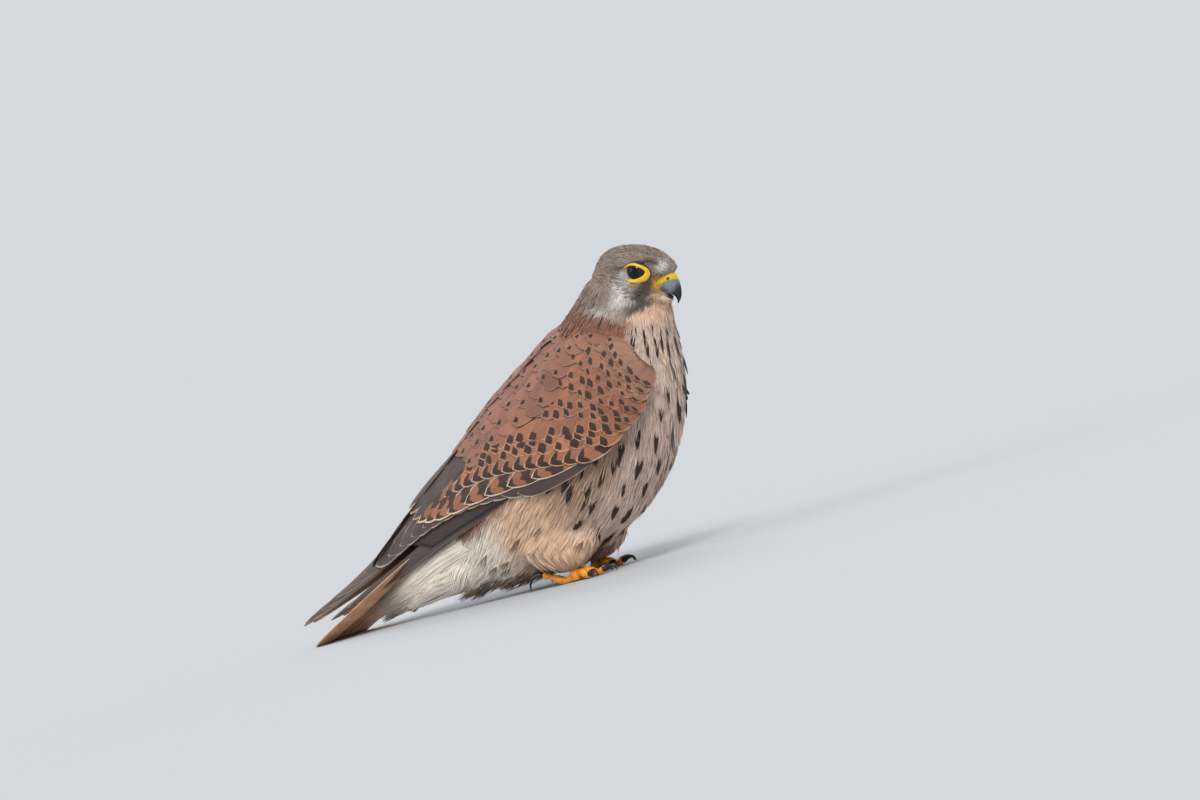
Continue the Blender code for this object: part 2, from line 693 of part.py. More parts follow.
def make_tail(paints):
    tail = covert_wedge(
        "tail",
        None,
        ((-46, 51.5), (-70, 41.5), (-92, 31.5)),
        ((-46, 46.5), (-70, 36.5), (-92, 28.5)),
        (9, 10, 9),
    )
    vanes = collection_of("rectrices")
    k = np.linspace(0, 1, 5)
    for pair in range(6):
        for side in (1, -1):
            length = TAIL_ROOT_X - TAIL_TIP_X + 1.5 - 0.6 * pair
            x = TAIL_ROOT_X - length * k
            y = side * (0.6 + 1.1 * pair) + side * (0.5 + 1.6 * pair) * k
            z = tail_height(x, y) + 0.3 - 0.62 * pair - 0.12 * (side < 0) + 1.2 * k * (1 - k)
            roll = TAIL_ROLL[0] + (TAIL_ROLL[1] - TAIL_ROLL[0]) * k
            up = np.stack([0 * k - TAIL_SLOPE, roll, 0 * k + 1.0], 1)
            vane("rectrix", np.stack([x, y, z], 1), up, 7.2, 0.13, vanes)
    combine(tail, vanes)
    cutters = collection_of("tail_cutters")
    body_cutters(cutters, GAP)
    box("floor_cut", (-200, -60, -20), (0, 60, 0), cutters)
    combine(tail, cutters, "DIFFERENCE")
    keep_largest(tail)
    tail.data.materials.append(paints["tail"])
    smooth_shade(tail, 30)


# Legs, feet and claws


def leg_place(side):
    return np.array([FOOT_X[0] if side > 0 else FOOT_X[1], FOOT_SPREAD * side, 0.0])


THIGH = (  # height, centre x, centre y past the foot, half length, half width
    (42.0, -5.0, -1.0, 14.0, 7.0),
    (32.0, -3.5, -1.0, 24.0, 11.0),
    (23.0, -1.5, -1.0, 25.0, 12.0),
    (15.5, 0.5, -0.5, 20.5, 11.0),
    (10.5, 1.5, 0.0, 14.0, 8.5),
    (7.8, 1.5, 0.0, 7.5, 5.5),
)


def thigh(name, side, paint):
    rows = through(THIGH, np.linspace(0, len(THIGH) - 1, 10))
    turn = np.linspace(0, 2 * math.pi, 18, endpoint=False)
    rings = np.zeros((10, 18, 3))
    rings[..., 0] = rows[:, 1:2] + rows[:, 3:4] * np.cos(turn)
    rings[..., 1] = side * (FOOT_SPREAD + rows[:, 2:3]) + rows[:, 4:5] * np.sin(turn)
    rings[..., 2] = rows[:, 0:1]
    poles = [rings[0].mean(0), rings[-1].mean(0) - (0, 0, 0.3)]
    made = loft(name, rings, poles, None, None)
    cutters = collection_of("thigh_cutters")
    body_cutters(cutters, GAP)
    x, y, _ = leg_place(side)
    tube("leg_cut", [(x - 3, y, 24), (x - 1, y, 12), (x, y, 2)], [3.0, 3.0, 3.0], 12, cutters)
    y_from, y_to = (-60, GAP / 2) if side > 0 else (-GAP / 2, 60)
    box("middle_cut", (-60, y_from, 0), (60, y_to, 60), cutters)
    combine(made, cutters, "DIFFERENCE")
    keep_largest(made)
    made.data.materials.append(paint)
    smooth_shade(made, 60)


# Each toe: name, direction in degrees, length from the ankle, height of its bend, claw length
TOES = (
    ("middle", -2.0, 15.0, 6.4, 8.0),
    ("inner", 30.0, 11.5, 6.0, 8.0),
    ("outer", -30.0, 11.5, 5.4, 7.0),
    ("hind", 180.0, 18.5, 6.0, 9.5),
)


def toe_path(side, angle_deg, length, height, hind):
    """Centre line of a toe, from the ankle out to where its claw grows."""
    angle = math.radians(angle_deg * side + 1.7)
    out = np.array([math.cos(angle), math.sin(angle), 0.0])
    if hind:
        stations = ((0.06, 2.9), (0.35, 1.7), (0.7, 4.6), (1.0, 7.6))
    else:
        stations = ((0.10, 3.3), (0.34, height - 1.6), (0.58, 3.4), (0.8, 1.75), (1.0, 2.3))
    rows = through(stations, np.linspace(0, len(stations) - 1, 8))
    path = leg_place(side)[None] + out[None] * (rows[:, :1] * length)
    path[:, 2] = rows[:, 1]
    return path, out


def make_foot(side, paints):
    word = "left" if side > 0 else "right"
    x, y, _ = leg_place(side)
    leg = tube(
        "leg_" + word,
        [(x - 1.9, y, 14.0), (x - 1.2, y, 11.5), (x - 0.5, y, 9.2), (x, y, 7.4)],
        [1.9, 2.1, 2.2, 2.5],
        10,
        None,
        1.0,
        paints["leg"],
    )
    smooth_shade(leg, 60)
    foot = tube("foot_" + word, [(x, y, 5.9), (x, y, 3.9), (x, y, 0.4)], [2.6, 3.45, 3.1], 12)
    toes = collection_of("toes")
    claws = []
    for name, angle, length, height, claw in TOES:
        hind = name == "hind"
        path, out = toe_path(side, angle, length, height, hind)
        k = np.linspace(0, 1, len(path))
        radii = 2.15 + 0.35 * np.cos(k * 4 * math.pi) * (k < 0.95) - 0.45 * k
        tube("toe", path, radii, 8, toes, 0.95)
        claws.append((name, path[-1], out, claw, hind))
    combine(foot, toes)
    cutters = collection_of("foot_cutters")
    box("floor_cut", (-100, -60, -20), (100, 60, 0), cutters)
    tube("leg_seat", [(x, y, 30), (x, y, 6.0 - GAP)], [4.0, 4.0], 12, cutters)
    combine(foot, cutters, "DIFFERENCE")
    keep_largest(foot)
    foot.data.materials.append(paints["leg"])
    smooth_shade(foot, 60)
    for name, start, out, length, hind in claws:
        make_claw(f"claw_{name}_{word}", start, out, length, hind, paints["claw"])


def make_claw(name, start, out, length, hind, paint):
    """A curved horn that rises from the toe's end, arches over and comes down to the floor."""
    up = np.array([0.0, 0.0, 1.0])
    base = start + out * (1.1 + GAP)
    rise = 0.6 if hind else 1.6
    k = np.linspace(0, 1, 7)
    bend = np.sin(k * math.pi * 0.5)
    path = base + out[None] * (length * 0.82 * bend)[:, None]
    drop = (base[2] - 0.25) * k**2.2
    path = path + up[None] * (rise * np.sin(k * math.pi) - drop)[:, None]
    radii = 1.35 * (1 - k) ** 0.8 + 0.16
    claw = tube(name, path, radii, 6, None, 1.1, paint)
    smooth_shade(claw, 60)


def main():
    clear_scene()
    collection_of(BIRD)
    paints = {
        "torso": material("breast_feathers", (0.62, 0.45, 0.32)),
        "neck": material("neck_feathers", (0.60, 0.44, 0.33)),
        "head": material("head_feathers", (0.34, 0.29, 0.26)),
        "wing": material("wing_feathers", (0.42, 0.20, 0.12)),
        "tail": material("tail_feathers", (0.45, 0.27, 0.17)),
        "thigh": material("thigh_feathers", (0.66, 0.47, 0.31)),
        "bill": material("bill_horn", (0.16, 0.18, 0.22), 0.35),
        "leg": material("leg_skin", (0.85, 0.45, 0.05), 0.5),
        "claw": material("claw_horn", (0.03, 0.03, 0.035), 0.3),
        "eye": material("eye_ball", (0.01, 0.008, 0.006), 0.05),
    }
    make_body(paints)
    make_bill(paints)
    make_eyes(paints)
    make_wing("wing_right", -1, paints)
    make_wing("wing_left", 1, paints)
    make_tail(paints)
    for side, word in ((1, "left"), (-1, "right")):
        thigh("thigh_" + word, side, paints["thigh"])
        make_foot(side, paints)


main()
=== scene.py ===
import math

import bpy
import numpy as np
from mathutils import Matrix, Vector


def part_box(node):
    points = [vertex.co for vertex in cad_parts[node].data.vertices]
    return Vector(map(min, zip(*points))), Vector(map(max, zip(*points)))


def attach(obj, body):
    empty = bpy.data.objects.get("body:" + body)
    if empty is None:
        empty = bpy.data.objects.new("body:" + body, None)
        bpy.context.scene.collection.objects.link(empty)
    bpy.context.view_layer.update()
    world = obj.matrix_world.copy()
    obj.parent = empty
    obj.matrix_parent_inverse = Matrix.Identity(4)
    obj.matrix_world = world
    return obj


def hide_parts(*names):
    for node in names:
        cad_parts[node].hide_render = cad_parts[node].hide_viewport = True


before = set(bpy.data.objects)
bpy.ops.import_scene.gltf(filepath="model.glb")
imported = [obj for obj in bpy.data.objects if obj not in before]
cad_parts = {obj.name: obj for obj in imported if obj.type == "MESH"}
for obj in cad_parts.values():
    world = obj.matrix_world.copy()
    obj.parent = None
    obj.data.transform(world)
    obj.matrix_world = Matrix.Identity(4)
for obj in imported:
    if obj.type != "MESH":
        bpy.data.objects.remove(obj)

# The bird stands on the floor as a mounted specimen does, life-size, with its head turned slightly.
# Its own millimetres start between its feet, with +X forward, +Y to its left and +Z up; the packed
# eye says how far the row's frame is from there.
MM = 0.001
EYE_CENTRE = np.array([0.5, 10.9, 0.3])  # left eye, in the head's own frame
HEAD_PLACE = np.array([83.5, 0.0, 143.6])
HEAD_PITCH = math.radians(17.0)
HEAD_YAW = math.radians(-3.0)
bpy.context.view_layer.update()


def unit(vectors):
    """Each vector divided by its own length."""
    return vectors / np.maximum(np.linalg.norm(vectors, axis=-1, keepdims=True), 1e-12)


def full_turn(count):
    """Angles at even steps round a circle."""
    return np.linspace(0, 2 * math.pi, count, endpoint=False)


def head_directions():
    """Forward, left and up of the head: the bird's axes turned by its yaw, then tipped by its pitch."""
    forward = np.array([math.cos(HEAD_PITCH) * math.cos(HEAD_YAW), math.cos(HEAD_PITCH) * math.sin(HEAD_YAW),
                        -math.sin(HEAD_PITCH)])
    left = np.array([-math.sin(HEAD_YAW), math.cos(HEAD_YAW), 0.0])
    return np.stack([forward, left, np.cross(forward, left)])


def from_head(points):
    """Head frame to bird frame: place plus each coordinate along its own direction."""
    return HEAD_PLACE + np.asarray(points, float) @ head_directions()


def to_head(points):
    """Bird frame to head frame: the offset from the head's place, read along each direction."""
    return (np.asarray(points, float) - HEAD_PLACE) @ head_directions().T


SHIFT = np.mean(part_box("eye_left"), axis=0) / MM - from_head(EYE_CENTRE)


def in_frame(points):
    """Bird millimetres to the frame's metres: shifted, then divided by a thousand."""
    return (np.asarray(points, float) + SHIFT) * MM


# The camera stands a little in front of the bird's right side and just above its feet, with a long
# lens, and is rolled so that the floor rises to the right.
CAMERA_TURN, CAMERA_RISE, CAMERA_ROLL = math.radians(28.0), math.radians(1.5), math.radians(16.0)
CAMERA_DISTANCE, CAMERA_LENS = 3.0, 176.47
CAMERA_AIM = in_frame([36.8, 0.0, 85.65])


def aim_camera():
    """Camera axes: back points from the aim to the lens, across is level, and both roll about back."""
    back = np.array([math.sin(CAMERA_TURN) * math.cos(CAMERA_RISE),
                     -math.cos(CAMERA_TURN) * math.cos(CAMERA_RISE), math.sin(CAMERA_RISE)])
    level = np.array([math.cos(CAMERA_TURN), math.sin(CAMERA_TURN), 0.0])
    upright = np.cross(back, level)
    across = level * math.cos(CAMERA_ROLL) - upright * math.sin(CAMERA_ROLL)
    up = level * math.sin(CAMERA_ROLL) + upright * math.cos(CAMERA_ROLL)
    place = np.eye(4)
    place[:3, 0], place[:3, 1], place[:3, 2] = across, up, back
    place[:3, 3] = CAMERA_AIM + back * CAMERA_DISTANCE
    return place


camera = bpy.data.objects.new("camera", bpy.data.cameras.new("camera"))
bpy.context.scene.collection.objects.link(camera)
camera.data.lens = CAMERA_LENS
camera.data.sensor_width = 36.0
camera.data.clip_end = 100.0
camera.matrix_world = aim_camera().T.tolist()
bpy.context.scene.camera = camera

# A plain studio: one wide pale floor under a sky of the same pale tone, so that no edge shows, lit by
# two broad soft lamps from the front and one from behind.


def studio_floor():
    """A flat disc: points at the cosine and sine of each turn, joined to the middle by a fan."""
    turn = full_turn(96)
    points = np.vstack([60.0 * np.stack([np.cos(turn), np.sin(turn), 0 * turn], -1), [[0.0, 0.0, 0.0]]])
    mesh = bpy.data.meshes.new("floor")
    mesh.from_pydata(points.tolist(), [], [(96, j, (j + 1) % 96) for j in range(96)])
    return mesh


floor = bpy.data.objects.new("floor", studio_floor())
bpy.context.scene.collection.objects.link(floor)
floor_paint = bpy.data.materials.new("pale_floor")
floor_paint.use_nodes = True
floor_paint.node_tree.nodes["Principled BSDF"].inputs["Base Color"].default_value = (0.487, 0.503, 0.525, 1)
floor_paint.node_tree.nodes["Principled BSDF"].inputs["Roughness"].default_value = 1.0
floor_paint.node_tree.nodes["Principled BSDF"].inputs["Specular IOR Level"].default_value = 0.0
floor.data.materials.append(floor_paint)


def soft_lamp(name, place, spread, strength, colour):
    """A distant lamp that shines from a place towards the bird, its disc spread over some degrees."""
    lamp = bpy.data.objects.new(name, bpy.data.lights.new(name, "SUN"))
    lamp.data.angle, lamp.data.energy, lamp.data.color = math.radians(spread), strength, colour
    back = unit(np.array(place, float))
    across = unit(np.cross([0.0, 0.0, 1.0], back))
    axes = np.eye(4)
    axes[:3, 0], axes[:3, 1], axes[:3, 2] = across, np.cross(back, across), back
    axes[:3, 3] = back * 3.0
    lamp.matrix_world = axes.T.tolist()
    bpy.context.scene.collection.objects.link(lamp)


soft_lamp("key_lamp", (0.75, -1.1, 1.25), 24.0, 2.1, (1.0, 0.96, 0.90))
soft_lamp("fill_lamp", (-1.3, -1.2, 0.8), 40.0, 0.5, (0.92, 0.96, 1.0))
soft_lamp("back_lamp", (-0.6, 1.5, 1.3), 30.0, 0.9, (1.0, 0.98, 0.95))
sky = bpy.data.worlds.new("studio_sky")
sky.use_nodes = True
sky.node_tree.nodes["Background"].inputs["Color"].default_value = (0.86, 0.89, 0.93, 1)
sky.node_tree.nodes["Background"].inputs["Strength"].default_value = 0.78
bpy.context.scene.world = sky
bpy.context.scene.view_settings.view_transform = "Standard"

# The skin under the plumage is one body without a seam from the bill to the root of the tail. It is
# worked out as lofts a coat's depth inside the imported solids, then fused and smoothed.
COAT_DEPTH, FACE_DEPTH = 1.7, 0.8
SKIN_GRAIN = 1.0
TORSO = (  # back x, z, belly x, z, half width
    (-82.0, 45.0, -80.0, 22.0, 7.0),
    (-72.0, 52.5, -64.0, 12.0, 13.0),
    (-60.5, 62.0, -46.0, 7.0, 19.0),
    (-44.5, 74.0, -22.0, 7.5, 26.0),
    (-27.6, 87.6, 6.0, 11.5, 31.5),
    (-10.7, 99.6, 38.0, 22.5, 34.0),
    (2.2, 109.2, 60.5, 40.6, 35.0),
    (14.0, 118.3, 74.8, 61.8, 34.0),
    (24.8, 126.0, 83.0, 84.0, 31.0),
    (34.6, 133.2, 86.2, 102.0, 26.7),
    (42.4, 139.8, 88.0, 114.0, 22.4),
    (50.8, 147.0, 89.6, 124.0, 19.2),
    (59.2, 153.4, 92.3, 133.0, 16.4),
)
HEAD = (  # in the head's frame: x, top z, bottom z, half width
    (-26.5, 3.4, -10.5, 7.5),
    (-22.6, 8.0, -15.4, 12.6),
    (-16.4, 10.8, -18.7, 15.9),
    (-9.0, 11.9, -20.5, 17.6),
    (-2.0, 11.9, -21.0, 17.4),
    (4.0, 10.8, -20.0, 15.6),
    (9.0, 8.8, -18.5, 12.4),
    (13.8, 6.0, -17.0, 8.8),
    (17.2, 2.4, -14.5, 5.0),
)
THIGH = (  # height, centre x, centre y past the foot, half length, half width
    (42.0, -5.0, -1.0, 14.0, 7.0),
    (32.0, -3.5, -1.0, 24.0, 11.0),
    (23.0, -1.5, -1.0, 25.0, 12.0),
    (15.5, 0.5, -0.5, 20.5, 11.0),
    (10.5, 1.5, 0.0, 14.0, 8.5),
    (7.8, 1.5, 0.0, 7.5, 5.5),
)
UNDER_TAIL = (  # x, top z, bottom z, half width
    (-30.0, 34.0, 20.0, 8.0),
    (-56.0, 33.0, 8.0, 17.0),
    (-80.0, 27.0, 7.0, 15.0),
    (-94.0, 19.0, 5.8, 9.5),
    (-104.0, 12.0, 5.0, 5.0),
)
OVER_TAIL = (
    (-50.0, 58.0, 40.0, 17.0),
    (-66.0, 49.0, 36.0, 16.0),
    (-80.0, 41.0, 31.0, 13.0),
    (-90.0, 35.0, 29.5, 9.0),
)
FOOT_SPREAD = 17.0


def through(rows, at):
    """A Catmull-Rom curve through the rows, read at positions at, where 0 is the first row."""
    rows = np.asarray(rows, float)
    at = np.asarray(at, float)
    padded = np.vstack([2 * rows[0] - rows[1], rows, 2 * rows[-1] - rows[-2]])
    low = np.clip(np.floor(at).astype(int), 0, len(rows) - 2)
    f = (at - low)[..., None]
    a, b, c, d = (padded[low + k] for k in range(4))
    return 0.5 * (2 * b + (c - a) * f + (2 * a - 5 * b + 4 * c - d) * f**2 + (3 * b - a - 3 * c + d) * f**3)


def torso_surface(s, a, grow):
    """Ellipses across the body: the middle of back and belly, half of the way between them times the
    cosine of a, and the half width times its sine, which a smaller power fills out towards the
    belly, all made larger by grow."""
    rows = through(TORSO, s)
    middle = np.stack([rows[..., 0] + rows[..., 2], 0 * s, rows[..., 1] + rows[..., 3]], -1) / 2
    half = np.stack([rows[..., 0] - rows[..., 2], 0 * s, rows[..., 1] - rows[..., 3]], -1) / 2
    half = half * (1 + grow / np.linalg.norm(half, axis=-1, keepdims=True))
    points = middle + half * np.cos(a)[..., None]
    wide = np.sign(np.sin(a)) * np.abs(np.sin(a)) ** (1 - 0.22 * np.clip(-np.cos(a), 0, 1))
    points[..., 1] = (rows[..., 4] + grow) * wide
    return points


def head_surface(s, a, grow):
    """Egg-shaped rings of the head with a brow over each eye, a shallow socket round it and a face
    that draws back beside the bill. Each is a Gaussian bump of the distance from its middle."""
    rows = through(HEAD, s)
    x, top, bottom, width = (rows[..., k] for k in range(4))
    z = (top + bottom) / 2 + ((top - bottom) / 2 + grow) * np.cos(a)
    y = (width + grow) * np.sin(a) * (1 - 0.10 * np.cos(a))
    brow = 1.5 * np.exp(-(((x - 3.0) / 6.0) ** 2) - ((z - 6.2) / 2.2) ** 2)
    socket = 1.3 * np.exp(-(((x - 1.5) / 5.0) ** 2) - ((z + 0.3) / 4.6) ** 2)
    y = y + np.sign(y) * np.minimum(np.abs(y) / 8, 1) * (brow - socket)
    x = x - 0.62 * np.maximum(x - 3.0, 0) * np.exp(-(((z + 7.5) / 6.5) ** 4))
    return from_head(np.stack([x, y, z], -1))


def thigh_surface(s, a, grow, side):
    """Upright ellipses down the thigh: the centre plus half length times cosine, half width times sine."""
    rows = through(THIGH, s)
    x = rows[..., 1] + (rows[..., 3] + grow) * np.cos(a)
    y = side * (FOOT_SPREAD + rows[..., 2]) + (rows[..., 4] + grow) * np.sin(a)
    return np.stack([x, y, rows[..., 0] + 0 * a], -1)


def wedge_surface(table, s, a, grow):
    """The tapered bundle over or under the tail's root: ellipses across, from top to bottom."""
    rows = through(table, s)
    z = (rows[..., 1] + rows[..., 2]) / 2 + ((rows[..., 1] - rows[..., 2]) / 2 + grow) * np.cos(a)
    return np.stack([rows[..., 0] + 0 * a, (rows[..., 3] + grow) * np.sin(a), z], -1)


def closed_loft(shape, last, count, around):
    """Points and faces of a surface read on a grid, each end closed by a fan on the mean of its ring."""
    s, a = np.meshgrid(np.linspace(0, last, count), full_turn(around), indexing="ij")
    rings = shape(s, a)
    points = np.vstack([rings.reshape(-1, 3), rings[0].mean(0)[None], rings[-1].mean(0)[None]])
    i, j = np.meshgrid(np.arange(count - 1), np.arange(around), indexing="ij")
    k = (j + 1) % around
    quads = np.stack([i * around + j, i * around + k, (i + 1) * around + k, (i + 1) * around + j], -1)
    j = np.arange(around)
    k = (j + 1) % around
    first = np.stack([0 * j + count * around, k, j], -1)
    last_fan = np.stack([0 * j + count * around + 1, (count - 1) * around + j, (count - 1) * around + k], -1)
    return points, quads.reshape(-1, 4).tolist() + first.tolist() + last_fan.tolist()


def new_object(name, points, faces):
    """A mesh object at the origin from points in bird millimetres, shaded smooth."""
    mesh = bpy.data.meshes.new(name)
    mesh.from_pydata(in_frame(points).tolist(), [], faces)
    mesh.shade_smooth()
    made = bpy.data.objects.new(name, mesh)
    bpy.context.scene.collection.objects.link(made)
    return made


def settle(thing):
    """Replaces an object's mesh by what its modifiers make of it, and drops the modifiers."""
    graph = bpy.context.evaluated_depsgraph_get()
    made = bpy.data.meshes.new_from_object(thing.evaluated_get(graph))
    thing.modifiers.clear()
    thing.data = made


def fused(name, shells, grain, rounds):
    """Many closed shells made one surface: voxels of size grain, then rounds of smoothing."""
    points, faces, start = [], [], 0
    for shell_points, shell_faces in shells:
        points.append(shell_points)
        faces += [tuple(start + v for v in face) for face in shell_faces]
        start += len(shell_points)
    made = new_object(name, np.vstack(points), faces)
    melt = made.modifiers.new("melt", "REMESH")
    melt.mode, melt.voxel_size, melt.use_smooth_shade = "VOXEL", grain * MM, True
    calm = made.modifiers.new("calm", "SMOOTH")
    calm.factor, calm.iterations = 0.5, rounds
    settle(made)
    made.data.shade_smooth()
    return made


def body_shells():
    """The lofts of the torso, the head, both bundles at the tail and both thighs."""
    shells = [
        closed_loft(lambda s, a: torso_surface(s, a, -COAT_DEPTH), len(TORSO) - 1, 70, 72),
        closed_loft(lambda s, a: head_surface(s, a, -FACE_DEPTH), len(HEAD) - 1, 48, 72),
        closed_loft(lambda s, a: wedge_surface(UNDER_TAIL, s, a, -COAT_DEPTH), 4, 30, 40),
        closed_loft(lambda s, a: wedge_surface(OVER_TAIL, s, a, -COAT_DEPTH), 3, 24, 40),
    ]
    for side in (1, -1):
        shells.append(closed_loft(lambda s, a: thigh_surface(s, a, -COAT_DEPTH, side), 5, 24, 48))
    return shells


skin = fused("body_skin", body_shells(), SKIN_GRAIN, 8)
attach(skin, "root")
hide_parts("torso", "neck", "head", "thigh_left", "thigh_right")

# The colours of the plumage, in linear light, laid over the whole body by soft-edged regions: chestnut
# above, buff below, a grey-brown hood with a pale cheek and a dark streak below the eye, with painted
# shade under the belly and in a dark line under the brow. The skin and the coat over it both read them.


def tone(red, green, blue):
    """A colour read on a screen, 0 to 255 a channel, as linear light."""
    screen = np.array([red, green, blue]) / 255
    return np.where(screen <= 0.04045, screen / 12.92, ((screen + 0.055) / 1.055) ** 2.4)


CHESTNUT = tone(138, 95, 79)
BUFF = tone(206, 182, 168)
PEACH = tone(224, 184, 150)
CREAM = tone(234, 224, 210)
HOOD_GREY = tone(140, 124, 113)
CHEEK_PALE = tone(222, 218, 212)
STREAK_GREY = tone(74, 66, 62)
THROAT_BUFF = tone(228, 192, 166)
RUMP_GREY = tone(142, 116, 100)
NAPE_BROWN = tone(142, 120, 104)
DARK_BROWN = tone(42, 33, 29)
MARK_BROWN = tone(44, 33, 28)
SLATE_BROWN = tone(84, 71, 66)
RUFOUS = tone(150, 100, 74)
# Painted shade: a darker brown laid under the belly, below the wing, low on the thighs and at the wing's
# front edge.
SHADE_BROWN = tone(158, 126, 104)
GAPE_YELLOW = tone(214, 160, 50)


def soft_step(value, low, high):
    """0 below low, 1 above high, and the cubic three f squared less two f cubed between."""
    f = np.clip((value - low) / (high - low), 0, 1)
    return f * f * (3 - 2 * f)


def spot(offset, size):
    """A Gaussian hill: the exponential of minus the squared offset, each part over its own size."""
    return np.exp(-np.sum((offset / np.asarray(size)) ** 2, axis=-1))


def body_place(points):
    """Where a point lies on the body: its station along the torso, and how far round from the back,
    as a cosine. The station is the cross plane that passes nearest to the point."""
    s = np.linspace(0, len(TORSO) - 1, 97)
    rows = through(TORSO, s)
    middle = np.stack([rows[:, 0] + rows[:, 2], 0 * s, rows[:, 1] + rows[:, 3]], -1) / 2
    half = np.stack([rows[:, 0] - rows[:, 2], 0 * s, rows[:, 1] - rows[:, 3]], -1) / 2
    flat = unit(np.cross(half, [0.0, 1.0, 0.0]))
    offset = points[:, None] - middle[None]
    miss = np.abs(np.sum(offset * flat, -1)) + 0.12 * np.linalg.norm(offset, axis=-1)
    best = np.argmin(miss, axis=1)
    pick = np.arange(len(points))
    height = np.sum(offset[pick, best] * unit(half)[best], -1) / np.linalg.norm(half, axis=1)[best]
    breadth = points[:, 1] / rows[best, 4]
    return s[best], height / np.maximum(np.hypot(height, breadth), 1e-6)


def mix(first, second, share):
    """Each first colour moved towards the second by its share."""
    return first + (second - first) * np.asarray(share)[..., None]


def plumage(points):
    """The ground colour of the plumage at points of the body."""
    station, above = body_place(points)
    head = to_head(points)
    head[:, 1] = np.abs(head[:, 1])
    x, y, z = head.T
    lower = mix(BUFF, PEACH, 0.8 * soft_step(-points[:, 0], -42, -8))
    lower = mix(lower, CREAM, soft_step(-points[:, 0], 8, 32) * soft_step(-points[:, 2], -66, -42))
    # Painted shade under the belly, between and behind the feet: a darker brown on the lowest underside.
    belly_shadow = spot(points * (1, 0, 1) - (-18.0, 0.0, 6.0), (26.0, 1.0, 11.0))
    lower = mix(lower, SHADE_BROWN * 0.72, 0.8 * belly_shadow)
    tail_end = soft_step(-points[:, 0], 86, 102) * soft_step(-points[:, 2], -22, -8)
    lower = mix(lower, tone(132, 120, 110), 0.8 * tail_end)
    upper = mix(CHESTNUT, RUMP_GREY, soft_step(-station, -3.2, -1.2))
    shoulder = 0.62 * soft_step(station, 7.4, 8.8)
    colour = mix(lower, upper, soft_step(above + shoulder, 0.02, 0.26))
    hood = soft_step(station, 9.8, 10.5) * soft_step(z, -21.5, -18.5)
    down = -z
    face = mix(HOOD_GREY, NAPE_BROWN, 0.4 * soft_step(-x, 12, 22) * soft_step(-z, -2, 6))
    face = mix(face, CHEEK_PALE, 0.95 * spot(head - (-5.8, 15.0, -9.1), (5.0, 20.0, 4.6)))
    face = mix(face, CHEEK_PALE, 0.90 * spot(head - (12.5, 7.0, 2.8), (3.4, 6.0, 3.4)))
    face = mix(face, tone(168, 164, 168), 0.9 * spot(head - (-6.0, 15.0, -1.4), (2.6, 9.0, 2.2)))
    face = mix(face, CHEEK_PALE, 0.85 * spot(head - (-15.0, 15.0, -17.8), (7.5, 14.0, 3.8)))
    bend = 6.4 - 0.35 * (down - 7.6) - 0.065 * (down - 7.6) * np.abs(down - 7.6)
    face = mix(face, THROAT_BUFF, soft_step(x - bend, 1.2, 3.2) * soft_step(down, 10.5, 13.0))
    face = mix(face, THROAT_BUFF, soft_step(down, 17.5, 20.0) * soft_step(x, -6, -1))
    streak = np.exp(-(((x - bend) / 3.4) ** 4)) * soft_step(down, 4.0, 6.0) * soft_step(-down, -17.0, -15.0)
    face = mix(face, STREAK_GREY, 0.9 * streak * soft_step(y, 5.0, 7.5))
    # Painted shade under the brow: a dark line just above the eye, where the ridge over it shades the lid.
    line = np.where(x < 4.6, 4.05 + 0.262 * x, 5.9 - 0.3 * (x - 4.6))
    thick = 1.0 + 0.5 * soft_step(-x, 2.0, 5.0)
    brow = np.exp(-(((z - line) / thick) ** 2)) * soft_step(x, -14.0, -9.0) * soft_step(-x, -11.5, -9.0)
    face = mix(face, STREAK_GREY * 0.7, 0.95 * brow * soft_step(y, 4.0, 7.0))
    face = mix(face, GAPE_YELLOW, spot(head - (9.2, 6.0, -6.2), (2.6, 5.0, 3.4)) * soft_step(y, 2.0, 4.0))
    return mix(colour, face, hood)


def add(tree, kind, *feeds, **settings):
    """One node of a tree: feeds go to its inputs in order, settings are its own properties."""
    made = tree.nodes.new(kind)
    for key, value in settings.items():
        setattr(made, key, value)
    for socket, feed in zip(made.inputs, feeds):
        if isinstance(feed, bpy.types.NodeSocket):
            tree.links.new(feed, socket)
        elif feed is not None:
            socket.default_value = feed
    return made


def sum_of(tree, operation, *feeds):
    """The output of one Math node."""
    return add(tree, "ShaderNodeMath", *feeds, operation=operation).outputs[0]


def ramp(tree, value, low, high):
    """Smooth step of a value between low and high, which may be in either order."""
    made = add(tree, "ShaderNodeMapRange", value, interpolation_type="SMOOTHSTEP")
    for socket, feed in zip(("From Min", "From Max"), (low, high)):
        made.inputs[socket].default_value = feed
    return made.outputs[0]


def blend(tree, share, first, second):
    """The output of one colour Mix node."""
    made = add(tree, "ShaderNodeMix", data_type="RGBA")
    for socket, feed in ((made.inputs[0], share), (made.inputs[6], first), (made.inputs[7], second)):
        if isinstance(feed, bpy.types.NodeSocket):
            tree.links.new(feed, socket)
        else:
            socket.default_value = feed
    return made.outputs[2]


